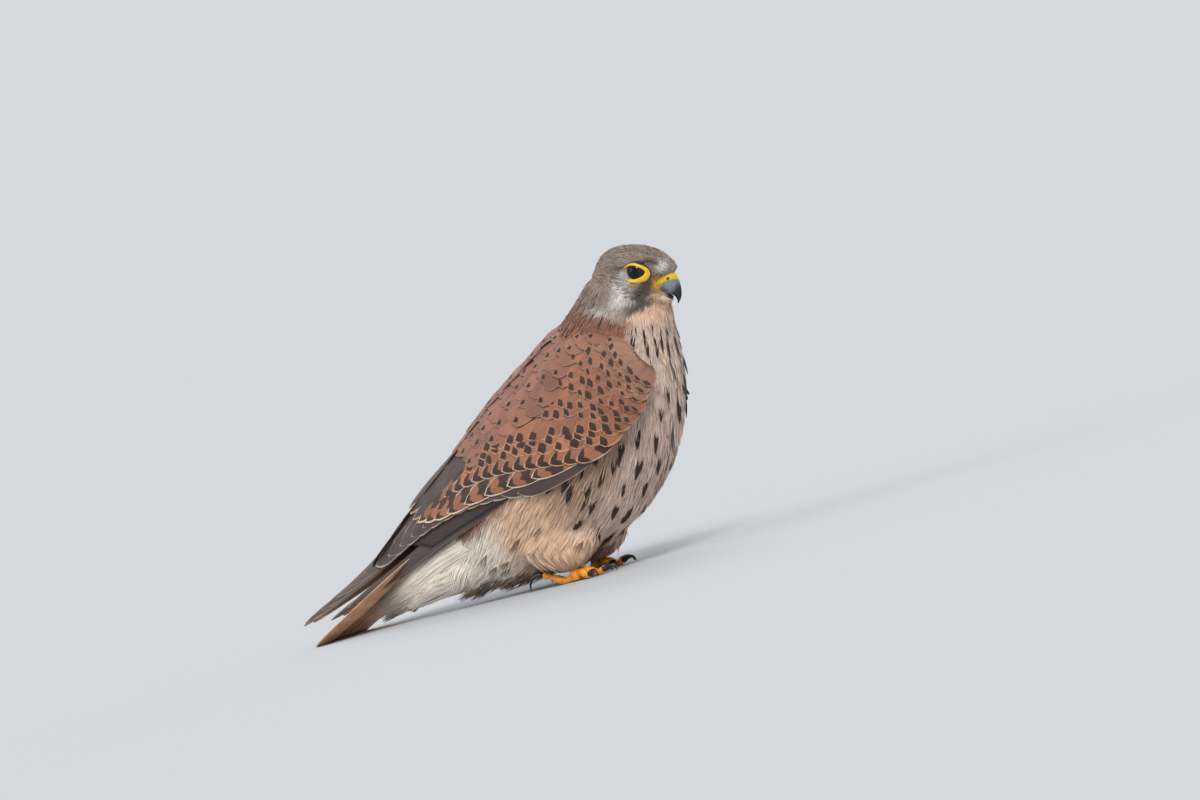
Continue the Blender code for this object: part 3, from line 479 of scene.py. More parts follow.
def feather_group():
    """One feather's markings, worked out on its own map, where u runs across and v from root to tip.
    A dark mark lies where u is nearer the shaft than a peak over v, bars follow the sine of v, the
    fringe follows the rounded edge, and fine barbs slant from the shaft."""
    tree = bpy.data.node_groups.new("feather_markings", "ShaderNodeTree")
    for name, kind in (("Base", "Color"), ("Dark", "Color"), ("Pale", "Color"), ("Vane", "Vector"),
                       ("Drop", "Vector"), ("Bars", "Vector"), ("Edge", "Float")):
        tree.interface.new_socket(name, in_out="INPUT", socket_type="NodeSocket" + kind)
    tree.interface.new_socket("Colour", in_out="OUTPUT", socket_type="NodeSocketColor")
    tree.interface.new_socket("Barbs", in_out="OUTPUT", socket_type="NodeSocketFloat")
    given = tree.nodes.new("NodeGroupInput").outputs
    out = tree.nodes.new("NodeGroupOutput")
    vane = add(tree, "ShaderNodeSeparateXYZ", given["Vane"]).outputs
    drop = add(tree, "ShaderNodeSeparateXYZ", given["Drop"]).outputs
    bars = add(tree, "ShaderNodeSeparateXYZ", given["Bars"]).outputs
    off = sum_of(tree, "ABSOLUTE", sum_of(tree, "MULTIPLY_ADD", vane[0], 2.0, -1.0))
    wobble = add(tree, "ShaderNodeTexNoise", given["Vane"])
    wobble.inputs["Scale"].default_value = 5.0
    wavy = sum_of(tree, "MULTIPLY_ADD", wobble.outputs[0], 0.10, -0.05)
    span = sum_of(tree, "SUBTRACT", drop[2], drop[1])
    f = sum_of(tree, "DIVIDE", sum_of(tree, "SUBTRACT", sum_of(tree, "ADD", vane[1], wavy), drop[1]), span)
    f = add(tree, "ShaderNodeClamp", f).outputs[0]
    rise = sum_of(tree, "MULTIPLY", f, 2.4)
    fall = sum_of(tree, "MULTIPLY_ADD", f, -1.7, 1.7)
    hill = sum_of(tree, "MINIMUM", rise, fall)
    edge = sum_of(tree, "MULTIPLY", hill, drop[0])
    dark_drop = ramp(tree, sum_of(tree, "SUBTRACT", edge, off), 0.0, 0.07)
    phase = sum_of(tree, "ADD", sum_of(tree, "MULTIPLY", sum_of(tree, "ADD", vane[1], wavy), bars[0]),
                   sum_of(tree, "MULTIPLY", off, 0.22))
    wave = sum_of(tree, "SINE", sum_of(tree, "MULTIPLY", phase, 2 * math.pi))
    barred = sum_of(tree, "MULTIPLY", ramp(tree, wave, -0.15, 0.35), bars[1])
    dark = sum_of(tree, "MAXIMUM", dark_drop, barred)
    past = sum_of(tree, "MAXIMUM", sum_of(tree, "DIVIDE", sum_of(tree, "SUBTRACT", vane[1], 0.72), 0.28), 0.0)
    rim = sum_of(tree, "SQRT", sum_of(tree, "ADD", sum_of(tree, "MULTIPLY", off, off),
                                      sum_of(tree, "MULTIPLY", past, past)))
    rim = sum_of(tree, "SUBTRACT", sum_of(tree, "ADD", rim, wavy), given["Edge"])
    fringe = sum_of(tree, "MULTIPLY", ramp(tree, rim, 0.0, 0.12), bars[2])
    slant = sum_of(tree, "ADD", sum_of(tree, "MULTIPLY", vane[1], 34.0), sum_of(tree, "MULTIPLY", off, -7.0))
    barbs = sum_of(tree, "SINE", sum_of(tree, "MULTIPLY", slant, 2 * math.pi))
    shaft = ramp(tree, off, 0.07, 0.02)
    colour = blend(tree, dark, given["Base"], given["Dark"])
    colour = blend(tree, fringe, colour, given["Pale"])
    shade = sum_of(tree, "ADD", sum_of(tree, "MULTIPLY", barbs, 0.05), sum_of(tree, "MULTIPLY", shaft, -0.16))
    shade = sum_of(tree, "ADD", shade, 1.0)
    colour = add(tree, "ShaderNodeVectorMath", colour, operation="SCALE")
    tree.links.new(shade, colour.inputs["Scale"])
    tree.links.new(colour.outputs[0], out.inputs["Colour"])
    tree.links.new(sum_of(tree, "ADD", barbs, sum_of(tree, "MULTIPLY", shaft, 1.5)), out.inputs["Barbs"])
    return tree


FEATHER_GROUP = feather_group()


def feather_paint(name, dark, pale, roughness, bump, edge=0.80):
    """A feather material: the markings group read on the vane map, with its barbs as a fine bump. The
    pale fringe starts at edge, as a share of the half width."""
    paint = bpy.data.materials.new(name)
    paint.use_nodes = True
    tree = paint.node_tree
    shader = tree.nodes["Principled BSDF"]
    markings = add(tree, "ShaderNodeGroup", node_tree=FEATHER_GROUP)
    for word in ("base", "drop", "bars"):
        source = add(tree, "ShaderNodeAttribute", attribute_name=word).outputs
        tree.links.new(source["Color" if word == "base" else "Vector"], markings.inputs[word.capitalize()])
    markings.inputs["Dark"].default_value = (*dark, 1)
    markings.inputs["Pale"].default_value = (*pale, 1)
    markings.inputs["Edge"].default_value = edge
    tree.links.new(add(tree, "ShaderNodeUVMap", uv_map="vane").outputs[0], markings.inputs["Vane"])
    tree.links.new(markings.outputs["Colour"], shader.inputs["Base Color"])
    relief = add(tree, "ShaderNodeBump")
    relief.inputs["Strength"].default_value = bump
    relief.inputs["Distance"].default_value = 0.0001
    tree.links.new(markings.outputs["Barbs"], relief.inputs["Height"])
    tree.links.new(relief.outputs[0], shader.inputs["Normal"])
    shader.inputs["Roughness"].default_value = roughness
    shader.inputs["Specular IOR Level"].default_value = 0.25
    shader.inputs["Sheen Weight"].default_value = 0.12
    return paint


def skin_paint():
    """The colour of the ground under the coat: the region colours, darker in fine mottles."""
    paint = bpy.data.materials.new("down_under_feathers")
    paint.use_nodes = True
    tree = paint.node_tree
    shader = tree.nodes["Principled BSDF"]
    base = add(tree, "ShaderNodeAttribute", attribute_name="base").outputs["Color"]
    grain = add(tree, "ShaderNodeTexNoise", add(tree, "ShaderNodeTexCoord").outputs["Object"])
    grain.inputs["Scale"].default_value = 900.0
    share = ramp(tree, grain.outputs[0], 0.35, 0.7)
    deep = add(tree, "ShaderNodeVectorMath", base, operation="SCALE")
    deep.inputs["Scale"].default_value = 0.62
    tree.links.new(blend(tree, share, base, deep.outputs[0]), shader.inputs["Base Color"])
    shader.inputs["Roughness"].default_value = 0.9
    return paint


def points_of(thing):
    """The points of an object's mesh, in bird millimetres."""
    flat = np.empty(len(thing.data.vertices) * 3, np.float32)
    thing.data.vertices.foreach_get("co", flat)
    return flat.reshape(-1, 3).astype(float) / MM - SHIFT


def set_attribute(mesh, name, kind, values):
    """Stores one value a point: a colour gets an alpha of one, a vector three numbers."""
    values = np.asarray(values, float)
    if kind == "FLOAT_COLOR":
        values = np.concatenate([values, np.ones((len(values), 1))], 1)
    layer = mesh.attributes.new(name, kind, "POINT")
    layer.data.foreach_set("color" if kind == "FLOAT_COLOR" else "vector", values.ravel().astype(np.float32))


set_attribute(skin.data, "base", "FLOAT_COLOR", plumage(points_of(skin)))
skin.data.materials.append(skin_paint())

# The body feathers are soft vanes rooted in the skin in staggered rows, each lying back over the next
# like a roof tile. Each vane is parted into its bundles of barbs, which stray and end at their own
# lengths. They are made tract by tract as one mesh.
RNG = np.random.default_rng(7)
LOWEST_SPINE = 1.5  # a feather near the floor lies no lower
NO_DROP = (0.0, 0.3, 1.0)  # a mark of no width, from and to its places along the vane


def on_skin(points):
    """The nearest place on the skin to each point and the smooth way out there, from a cloud of the
    points wrapped on to the skin twice, at the surface and one millimetre above it."""
    cloud = bpy.data.meshes.new("cloud")
    cloud.from_pydata(in_frame(points.reshape(-1, 3)).tolist(), [], [])
    thing = bpy.data.objects.new("cloud", cloud)
    bpy.context.scene.collection.objects.link(thing)
    wrap = thing.modifiers.new("wrap", "SHRINKWRAP")
    wrap.target, wrap.wrap_method, wrap.wrap_mode = skin, "NEAREST_SURFACEPOINT", "ABOVE_SURFACE"
    found = []
    for height in (0.0, 1.0):
        wrap.offset = height * MM
        graph = bpy.context.evaluated_depsgraph_get()
        mesh = thing.evaluated_get(graph).to_mesh()
        flat = np.empty(len(mesh.vertices) * 3, np.float32)
        mesh.vertices.foreach_get("co", flat)
        found.append(flat.reshape(points.shape).astype(float) / MM - SHIFT)
    bpy.data.objects.remove(thing)
    return found[0], unit(found[1] - found[0])


def rows_of_roots(first, last, count, around, turn_from, turn_to):
    """Staggered rows: row r lies at its own station, holds around(r) roots, and every other row is
    moved by half a step. Returns station, turn, row number and number in the row of each root."""
    station, turn, row, number = [], [], [], []
    for r, s in enumerate(np.linspace(first, last, count)):
        n = max(4, int(round(around(s))))
        i = np.arange(n)
        station.append(np.full(n, s))
        turn.append(turn_from + (turn_to - turn_from) * (i + 0.25 + 0.5 * (r % 2)) / n)
        row.append(np.full(n, r))
        number.append(i)
    return tuple(np.concatenate(part) for part in (station, turn, row, number))


def blade_outline(k, blunt):
    """Half width along a blade, 0 to 1: it swells over the first half, then rounds off at the tip."""
    swell = 0.35 + 0.65 * soft_step(k, -0.1, 0.55)
    return swell * np.sqrt(np.clip(1 - np.clip((k - (1 - blunt)) / blunt, 0, 1) ** 2.2, 0.012, 1))


def blades(spine, up, half_width, cup, columns, lean=0.0, fray=0.0, thickness=0.0):
    """Curved blades as one mesh. A point is the spine, plus the way across times the half width, less
    the way up times cup times the square of the way across. A thick blade has a second face below."""
    n, rows = spine.shape[:2]
    c = np.linspace(-1, 1, columns)
    along = unit(np.gradient(spine, axis=1))
    across = unit(np.cross(along, up))
    width = half_width[..., None] * c * (1 + lean * c)
    points = spine[:, :, None] + across[:, :, None] * width[..., None]
    points = points - up[:, :, None] * (np.asarray(cup).reshape(-1, 1, 1, 1) * (c**2)[None, None, :, None])
    k = np.linspace(0, 1, rows)
    if fray > 0:
        ragged = RNG.normal(0, fray, (n, rows, columns)) * (k**2)[None, :, None]
        points = points + along[:, :, None] * ragged[..., None]
    u, v = np.broadcast_arrays((c[None] + 1) / 2, k[:, None])
    vane = np.tile(np.stack([u, v], -1).reshape(-1, 2), (n, 1))
    i, j = np.meshgrid(np.arange(rows - 1), np.arange(columns - 1), indexing="ij")
    corner = (i * columns + j).ravel()
    quads = np.stack([corner, corner + 1, corner + columns + 1, corner + columns], -1)
    size = rows * columns
    points = points.reshape(n, size, 3)
    if thickness > 0:
        under = points - np.repeat(up, columns, axis=1) * thickness
        points = np.concatenate([points, under], axis=1)
        vane = np.concatenate([vane.reshape(n, size, 2)] * 2, axis=1).reshape(-1, 2)
        rim = np.concatenate([np.arange(rows) * columns, (rows - 1) * columns + np.arange(1, columns),
                              np.arange(rows - 2, -1, -1) * columns + columns - 1,
                              np.arange(columns - 2, 0, -1)])
        after = np.roll(rim, -1)
        walls = np.stack([rim, after, after + size, rim + size], -1)
        quads = np.concatenate([quads, quads[:, ::-1] + size, walls[:, ::-1]])
        size = size * 2
    faces = (quads[None] + (np.arange(n) * size)[:, None, None]).reshape(-1, 4)
    return points.reshape(-1, 3), faces, vane, size


def tufts(spine, up, half_width, strips, cup, ragged, narrow):
    """Feathers parted into bundles of barbs. Bundle j keeps its own share of the half width from the
    spine, reaches as far as the feather's outline there, tapers to a point, tilts and strays."""
    n, rows = spine.shape[:2]
    c = (2 * np.arange(strips) + 1) / strips - 1
    reach = (1 - narrow * np.abs(c) ** 2.0)[None] * (1 + RNG.normal(0, ragged, (n, strips)))
    k = np.array([0.0, 0.3, 0.58, 0.82, 1.0])
    v = np.clip(reach[..., None] * k, 0, 1)
    low = np.minimum((v * (rows - 1)).astype(int), rows - 2)
    f = (v * (rows - 1) - low)[..., None]
    pick = np.arange(n)[:, None, None]
    line = spine[pick, low] * (1 - f) + spine[pick, low + 1] * f
    lift = unit(up[pick, low] * (1 - f) + up[pick, low + 1] * f)
    across = unit(np.cross(unit(np.gradient(spine, axis=1))[pick, low], lift))
    swell = 0.32 + 0.68 * soft_step(v, -0.1, 0.6)
    off = c[None, :, None] * swell
    width = 1.3 / strips * swell * (1 - 0.88 * k**2.5)
    stray = RNG.normal(0, 0.07, (n, strips, 1)) * k**2
    tilt = RNG.normal(0, 0.30, (n, strips, 1, 1))
    tall = RNG.normal(0, 0.10, (n, strips, 1)) * k - cup[:, None, None] * off**2
    half = np.asarray(half_width)[:, None, None]
    centre = line + across * ((off + stray) * half)[..., None] + lift * tall[..., None]
    reach_out = (across * np.cos(tilt) + lift * np.sin(tilt)) * (width * half)[..., None]
    points = np.stack([centre - reach_out, centre + reach_out], axis=3)
    u = 0.5 + 0.5 * np.clip(np.stack([off - width, off + width], -1), -1, 1)
    vane = np.stack([u, np.repeat(v[..., None], 2, -1)], -1).reshape(-1, 2)
    size = strips * len(k) * 2
    corner = (np.arange(strips)[:, None] * len(k) * 2 + 2 * np.arange(len(k) - 1)[None]).ravel()
    quads = np.stack([corner, corner + 1, corner + 3, corner + 2], -1)
    faces = (quads[None] + (np.arange(n) * size)[:, None, None]).reshape(-1, 4)
    return points.reshape(-1, 3), faces, vane, size


def dress(name, made, base, drop, bars, bake, paint, nodes=()):
    """Puts feathers into a mesh with each one's colours, its vane map and its bake map, where every
    feather is a patch 0.003 across at its root's place on the unwrap of the body."""
    points, faces, vane, size = made
    thing = new_object(name, points, faces.tolist())
    mesh = thing.data
    n = len(points) // size
    streaks = np.repeat(1 + RNG.normal(0, 0.05, (n * size // 10 + 1, 1)), 10, axis=0)[:n * size]
    ground = np.repeat(np.broadcast_to(base, (n, 3)), size, axis=0) * streaks
    set_attribute(mesh, "base", "FLOAT_COLOR", ground)
    for word, values in (("drop", drop), ("bars", bars)):
        set_attribute(mesh, word, "FLOAT_VECTOR", np.repeat(np.broadcast_to(values, (n, 3)), size, axis=0))
    corner = np.empty(len(mesh.loops), np.int32)
    mesh.loops.foreach_get("vertex_index", corner)
    patch = np.repeat(bake, size, axis=0) + 0.003 * (vane - 0.5)
    for word, values in (("vane", vane), ("OFBake", patch)):
        layer = mesh.uv_layers.new(name=word)
        layer.data.foreach_set("uv", values[corner].ravel().astype(np.float32))
    mesh.materials.append(paint)
    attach(thing, "root")
    if nodes:
        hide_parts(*nodes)


def body_coat(name, surface, roots, length, half_width, lift, base, drop, bars, paint,
              strips=9, low=-0.35, droop=0.0, narrow=0.45, ragged=0.06, last=8.0):
    """Feathers on the skin. Each starts at its root, heads down the stations of its surface, bent
    towards the ground by droop, is wrapped on to the skin row by row and rises evenly to lift."""
    station, turn = roots[0], roots[1]
    root = surface(station, turn)
    heading = unit(surface(station - 0.03, turn) - root)
    heading = unit(heading + np.array([0.0, 0.0, -1.0]) * np.asarray(droop).reshape(-1, 1))
    heading = unit(heading + RNG.normal(0, 0.07, heading.shape))
    k = np.linspace(0, 1, 6)
    n = len(root)
    reach = np.asarray(length) * (1 + RNG.normal(0, 0.08, n))
    path = root[:, None] + heading[:, None] * (reach[:, None] * k)[..., None]
    floor_of, up = on_skin(path)
    rise = low + (np.asarray(lift).reshape(-1, 1) * np.ones((n, 1)) - low) * k**0.9
    rise = rise * (1 + RNG.normal(0, 0.07, (n, 1)))
    spine = floor_of + up * rise[..., None]
    spine[..., 2] = np.maximum(spine[..., 2], LOWEST_SPINE)
    width = np.broadcast_to(half_width, (n,)) * (1 + RNG.normal(0, 0.06, n))
    made = tufts(spine, up, width, strips, 0.35 * np.broadcast_to(lift, (n,)), ragged, narrow)
    bake = np.stack([0.02 + 0.96 * (turn / (2 * math.pi)) % 1.0, 0.02 + 0.96 * station / last], -1)
    shade = base * (1 + RNG.normal(0, 0.05, (n, 1)))
    dress(name, made, shade, drop, bars, bake, paint)


def near_skin(points, limit):
    """True where a point of a loft lies on the fused skin, and not inside it."""
    found, _ = on_skin(points[:, None])
    return np.linalg.norm(found[:, 0] - points, axis=1) < limit


def keep(roots, chosen):
    """The roots for which chosen is true."""
    return tuple(part[chosen] for part in roots)


def torso_skin(s, a):
    """The torso loft at the depth of the skin."""
    return torso_surface(s, a, -COAT_DEPTH)


def ring_length(s, share):
    """The rim of the torso's ellipse at a station, times the share that a tract covers."""
    rows = through(TORSO, s)
    half = np.hypot(rows[..., 0] - rows[..., 2], rows[..., 1] - rows[..., 3]) / 2
    return share * 2 * math.pi * np.sqrt((half**2 + rows[..., 4] ** 2) / 2)


def each(value, n):
    """One number for each of n feathers."""
    return np.full(n, value, float)


def mantle():
    """The back: chestnut, with a black diamond near the tip of every third feather of every other row,
    and only thin streaks towards the nape."""
    roots = rows_of_roots(1.2, 11.2, 44,
                          lambda s: ring_length(s, 0.42) / (5.0 - 2.6 * soft_step(s, 8.0, 9.8)),
                          math.radians(-78), math.radians(78))
    roots = keep(roots, near_skin(torso_skin(roots[0], roots[1]), 0.9))
    station, turn, row, number = roots
    n = len(station)
    nape = soft_step(station, 8.0, 9.8)
    marked = (number % 3 == (row // 2) % 3) & (row % 2 == 0)
    narrow_streak = (nape > 0.5) & ((number + row) % 2 == 0)
    width = np.where(marked | narrow_streak, 0.50 - 0.26 * nape, 0.0)
    drop = np.stack([width, 0.62 - 0.3 * nape, each(0.97, n)], -1)
    bars = np.stack([each(1, n), each(0, n), 0.10 + 0.15 * nape], -1)
    base = plumage(torso_skin(station, turn))
    body_coat("mantle_feathers", torso_skin, roots, 15.0 - 7.0 * nape, 4.8 - 2.8 * nape,
                     1.6 - 0.5 * nape, base, drop, bars,
                     feather_paint("mantle_feather", DARK_BROWN, tone(190, 148, 122), 0.7, 0.15),
                     strips=11, last=12.0)


def breast():
    """The underside of the torso: plain buff feathers, browner below the wing as painted shade, and looser on
    the belly.
    The dark drops are narrow feathers of one bundle laid over them, at every third root of every third
    row, denser below the wing and thin at the throat. None lie on chestnut, where blue is under half
    of red."""
    roots = rows_of_roots(1.4, 11.6, 54,
                          lambda s: ring_length(s, 0.60) / (4.4 - 1.9 * soft_step(s, 8.6, 10.2)),
                          math.radians(68), math.radians(292))
    roots = keep(roots, near_skin(torso_skin(roots[0], roots[1]), 0.9))
    station, turn, row, number = roots
    n = len(station)
    place = torso_skin(station, turn)
    belly = soft_step(-station, -5.6, -3.6)
    throat = soft_step(station, 8.6, 10.2)
    flank = soft_step(np.abs(place[:, 1]), 24.0, 29.0)
    flank = flank * soft_step(station, 4.2, 5.2) * soft_step(-station, -9.0, -8.0)
    marked = (row % 3 == 0) & (number % 3 == row // 3 % 3) & (station > 3.9)
    marked |= (flank > 0.5) & (row % 2 == 0) & (number % 2 == row // 2 % 2)
    marked |= (throat > 0.4) & (number % 2 == row % 2)
    plain = np.tile([0.0, 0.5, 1.0], (n, 1))
    bars = np.stack([each(1, n), each(0, n), each(0.22, n)], -1)
    ground = plumage(place)
    # Painted shade below the wing: the flank feathers there are laid in the darker shade brown.
    base = mix(ground, SHADE_BROWN, 0.75 * flank)
    marked &= (throat < 0.2) | ((number % 2 == 0) & (row % 2 == 0))
    marked &= (station < 10.5) & ((station > 4.6) | (number % 2 == 0))
    marked &= ground[:, 2] > 0.5 * ground[:, 0]
    spots = keep((station, turn), marked)
    thin = throat[marked]
    size = RNG.normal(1, 0.15, len(thin))
    breadth = (1.6 - 1.1 * thin - 0.4 * belly[marked]) * size
    body_coat("breast_marks", torso_skin, spots, (17.0 - 7.0 * thin) * size**0.4, breadth,
              2.5 + 1.0 * belly[marked] + 1.6 * flank[marked] - 0.9 * thin, MARK_BROWN, (0.0, 0.5, 1.0),
              (1.0, 0.0, 0.0), feather_paint("breast_mark", MARK_BROWN, BUFF, 0.75, 0.1),
              strips=1, narrow=0.1, droop=0.2, last=12.0)
    body_coat("breast_feathers", torso_skin, roots, 13.5 - 6.0 * throat + 4.0 * belly,
                     4.3 - 2.4 * throat, 1.6 + 0.9 * belly + 1.8 * flank - 0.5 * throat, base, plain, bars,
                     feather_paint("breast_feather", tone(60, 46, 39), CREAM, 0.8, 0.15),
                     strips=11, droop=0.2 + 0.5 * belly, narrow=0.40,
                     ragged=0.09, last=12.0)


def undertail_sides():
    """The outer undertail coverts, which fill the room between the bundle and the tail above it: each
    starts on a wider wedge that reaches up to the tail and runs straight back along it."""
    table = ((-22.0, 54.0, 24.0, 22.0), (-42.0, 50.0, 20.0, 20.5), (-62.0, 43.0, 16.0, 17.5),
             (-84.0, 33.0, 11.0, 12.5), (-106.0, 23.0, 6.5, 6.5), (-124.0, 14.5, 3.5, 2.5))
    s = np.repeat(np.linspace(0.1, 3.9, 14), 26)
    a = np.tile(np.linspace(0.24, 1.76, 26) * math.pi, 14) + np.repeat(0.06 * (np.arange(14) % 2), 26)
    n = len(s)
    k = np.linspace(0, 1, 6)
    at = s[:, None] + 1.05 * k
    turn = np.broadcast_to(a[:, None], at.shape)
    face = wedge_surface(table, at, turn, 0.0)
    up = unit(wedge_surface(table, at, turn, 1.0) - face)
    spine = face + up * (-0.8 + 1.6 * k[None, :, None] + RNG.normal(0, 0.25, (n, 1, 1)))
    spine[..., 2] = np.maximum(spine[..., 2], LOWEST_SPINE)
    made = tufts(spine, up, RNG.uniform(2.8, 4.0, n), 11, each(0.4, n), 0.10, 0.7)
    base = mix(CREAM, tone(140, 128, 118), 0.85 * soft_step(s, 2.6, 3.7)) * (1 + RNG.normal(0, 0.04, (n, 1)))
    bake = np.stack([0.02 + 0.96 * a / (2 * math.pi) % 1.0, 0.02 + 0.2 * s], -1)
    dress("undertail_sides", made, base, (0, 0.4, 1), (1, 0, 0.1), bake,
          feather_paint("undertail_side", tone(120, 92, 70), CREAM, 0.8, 0.15))


def belly_tassels():
    """The longest, loosest feathers, that hang in tassels behind and between the feet, their outer halves
    darkened brown as painted shade under the belly.
    """
    station = RNG.uniform(1.6, 4.6, 420)
    turn = math.pi + RNG.normal(0, 0.38, 420)
    roots = keep((station, turn), near_skin(torso_skin(station, turn), 0.9))
    station, turn = roots
    n = len(station)
    # Painted shade under the belly: a brown mark over each tassel's outer half.
    drop = np.stack([each(0.9, n), each(0.45, n), each(1.35, n)], -1)
    bars = np.stack([each(1, n), each(0, n), each(0.1, n)], -1)
    body_coat("belly_tassels", torso_skin, roots, RNG.uniform(14.0, 24.0, n), each(2.4, n),
                     RNG.uniform(2.5, 6.5, n), plumage(torso_skin(station, turn)), drop, bars,
                     feather_paint("tassel", tone(122, 98, 80), CREAM, 0.85, 0.15),
                     strips=7, droop=0.35, narrow=0.5, ragged=0.16, last=12.0)


def head_skin(s, a):
    """The head loft at the depth of the skin."""
    return head_surface(s, a, -FACE_DEPTH)


EYE_HALF_LENGTH, EYE_HALF_HEIGHT = 5.2, 3.5


def eye_opening(turn):
    """How far the opening between the lids reaches from its middle at each turn, and how broad the bare
    rim is there: an ellipse pinched in front, and a rim widest in front and below."""
    pinch = 1 - 0.10 * np.maximum(np.cos(turn), 0)
    inner = 1 / np.hypot(np.cos(turn) / EYE_HALF_LENGTH, np.sin(turn) / (EYE_HALF_HEIGHT * pinch))
    breadth = 0.95 + 1.8 * np.maximum(np.cos(turn + 0.45), 0) ** 3 + 0.6 * np.maximum(-np.sin(turn), 0) ** 2
    return inner, breadth


def head_coat():
    """The hood: very small, narrow feathers that sweep back from the bill, half of them with a dark
    shaft. Each has the ground colour of the place that it covers, and is short where it would reach
    over the eye's rim."""
    def around(s):
        rows = through(HEAD, s)
        return 2 * math.pi * math.sqrt((((rows[1] - rows[2]) / 2) ** 2 + rows[3] ** 2) / 2) / 1.30

    roots = rows_of_roots(0.15, 7.95, 56, around, 0.0, 2 * math.pi)
    place = head_skin(roots[0], roots[1])
    local = to_head(place)
    local[:, 1] = np.abs(local[:, 1])
    angle = np.arctan2(local[:, 2] - EYE_CENTRE[2], local[:, 0] - EYE_CENTRE[0])
    off_eye = np.hypot(local[:, 0] - EYE_CENTRE[0], local[:, 2] - EYE_CENTRE[2])
    inner, breadth = eye_opening(angle)
    clear = (off_eye > inner + breadth + 0.35 + 1.7 * np.maximum(np.cos(angle), 0)) | (local[:, 1] < 7.0)
    clear &= spot(local - (10.2, 6.0, -6.2), (3.4, 5.0, 3.8)) < 0.5
    roots = keep(roots, near_skin(place, 0.8) & clear)
    station, turn = roots[:2]
    n = len(station)
    place = head_skin(station, turn)
    local = to_head(place)
    front = soft_step(local[:, 0], 1.0, 10.0)
    throat = soft_step(-local[:, 2], 11.0, 14.0) * (local[:, 0] > 2)
    streaked = RNG.random(n) < 0.5
    neck_side = soft_step(-local[:, 2], 12.0, 15.0) * soft_step(-local[:, 0], 4.0, 8.0)
    width = np.where(streaked, 0.28 + 0.35 * neck_side, 0.0) * (1 - throat)
    drop = np.stack([width, each(0.1, n), each(1.2, n)], -1)
    bars = np.stack([each(1, n), each(0, n), each(0.12, n)], -1)
    heading = unit(head_skin(station - 0.03, turn) - place)
    length = 5.8 - 3.2 * front
    base = plumage(place + heading * (0.6 * length)[:, None]) * (1 + RNG.normal(0, 0.05, (n, 1)))
    for share in (0.4, 0.7, 1.0):
        ahead = to_head(place + heading * (share * length)[:, None]) - EYE_CENTRE * (1, 0, 1)
        inner, breadth = eye_opening(np.arctan2(ahead[:, 2], ahead[:, 0]))
        covers = (np.hypot(ahead[:, 0], ahead[:, 2]) < inner + breadth + 0.1) & (np.abs(ahead[:, 1]) > 7.0)
        length = np.where(covers, np.minimum(length, 1.7), length)
    body_coat("head_feathers", head_skin, roots, length, 1.0 - 0.35 * front,
                     0.85 - 0.35 * front, base, drop, bars,
                     feather_paint("head_feather", tone(100, 88, 80), tone(190, 182, 172), 0.8, 0.1),
                     strips=3, low=-0.2, ragged=0.12, last=8.0)


def tail_coverts(name, table, turn_from, turn_to, dark, drop_width, count, length):
    """The long soft feathers over or under the root of the tail, each narrowed to a point."""
    last = len(table) - 1.0

    def backwards(s, a):
        return wedge_surface(table, last - s, a, -COAT_DEPTH)

    roots = rows_of_roots(0.1, last, count, lambda s: 15, turn_from, turn_to)
    roots = keep(roots, near_skin(backwards(roots[0], roots[1]), 1.2))
    station, turn, row, number = roots
    n = len(station)
    marked = (row + number) % 3 == 0
    drop = np.stack([np.where(marked, drop_width, 0.0), each(0.5, n), each(0.95, n)], -1)
    bars = np.stack([each(1, n), each(0, n), each(0.2, n)], -1)
    base = plumage(backwards(station, turn))
    body_coat(name, backwards, roots, each(length, n), each(4.2, n), each(1.5, n), base, drop, bars,
                     feather_paint(name + "_paint", dark, CREAM, 0.8, 0.15), strips=11, narrow=0.7,
                     ragged=0.10, last=last)


def thigh_coat(side, word):
    """The trousers: long loose feathers that hang down the thigh to the foot, darker brown towards the foot
    as painted shade under the body.
    """
    def hanging(s, a):
        return thigh_surface(5.0 - s, a, -COAT_DEPTH, side)

    roots = rows_of_roots(0.3, 4.8, 18, lambda s: 30 + 0 * s, 0.0, 2 * math.pi)
    roots = keep(roots, near_skin(hanging(roots[0], roots[1]), 1.2))
    station, turn = roots[:2]
    n = len(station)
    drop = np.stack([each(0, n), each(0.4, n), each(1, n)], -1)
    bars = np.stack([each(1, n), each(0, n), each(0.2, n)], -1)
    place = hanging(station, turn)
    # Painted shade low on the thigh: the feathers turn to the shade brown towards the foot.
    base = mix(plumage(place), SHADE_BROWN, 0.7 * soft_step(-place[:, 2], -17.0, -9.0))
    body_coat("thigh_feathers_" + word, hanging, roots, RNG.uniform(9.0, 13.0, n), each(2.3, n),
                     RNG.uniform(0.8, 2.2, n), base, drop, bars,
                     feather_paint("thigh_feather_" + word, tone(90, 66, 48), CREAM, 0.85, 0.15),
                     strips=7, ragged=0.12, narrow=0.5, last=5.0)


mantle()
breast()
undertail_sides()
belly_tassels()
head_coat()
tail_coverts("undertail_coverts", UNDER_TAIL, math.radians(60), math.radians(300),
             tone(120, 92, 70), 0.0, 12, 25.0)
tail_coverts("uppertail_coverts", OVER_TAIL, math.radians(-100), math.radians(100),
             tone(60, 50, 46), 0.3, 7, 18.0)
thigh_coat(1, "left")
thigh_coat(-1, "right")

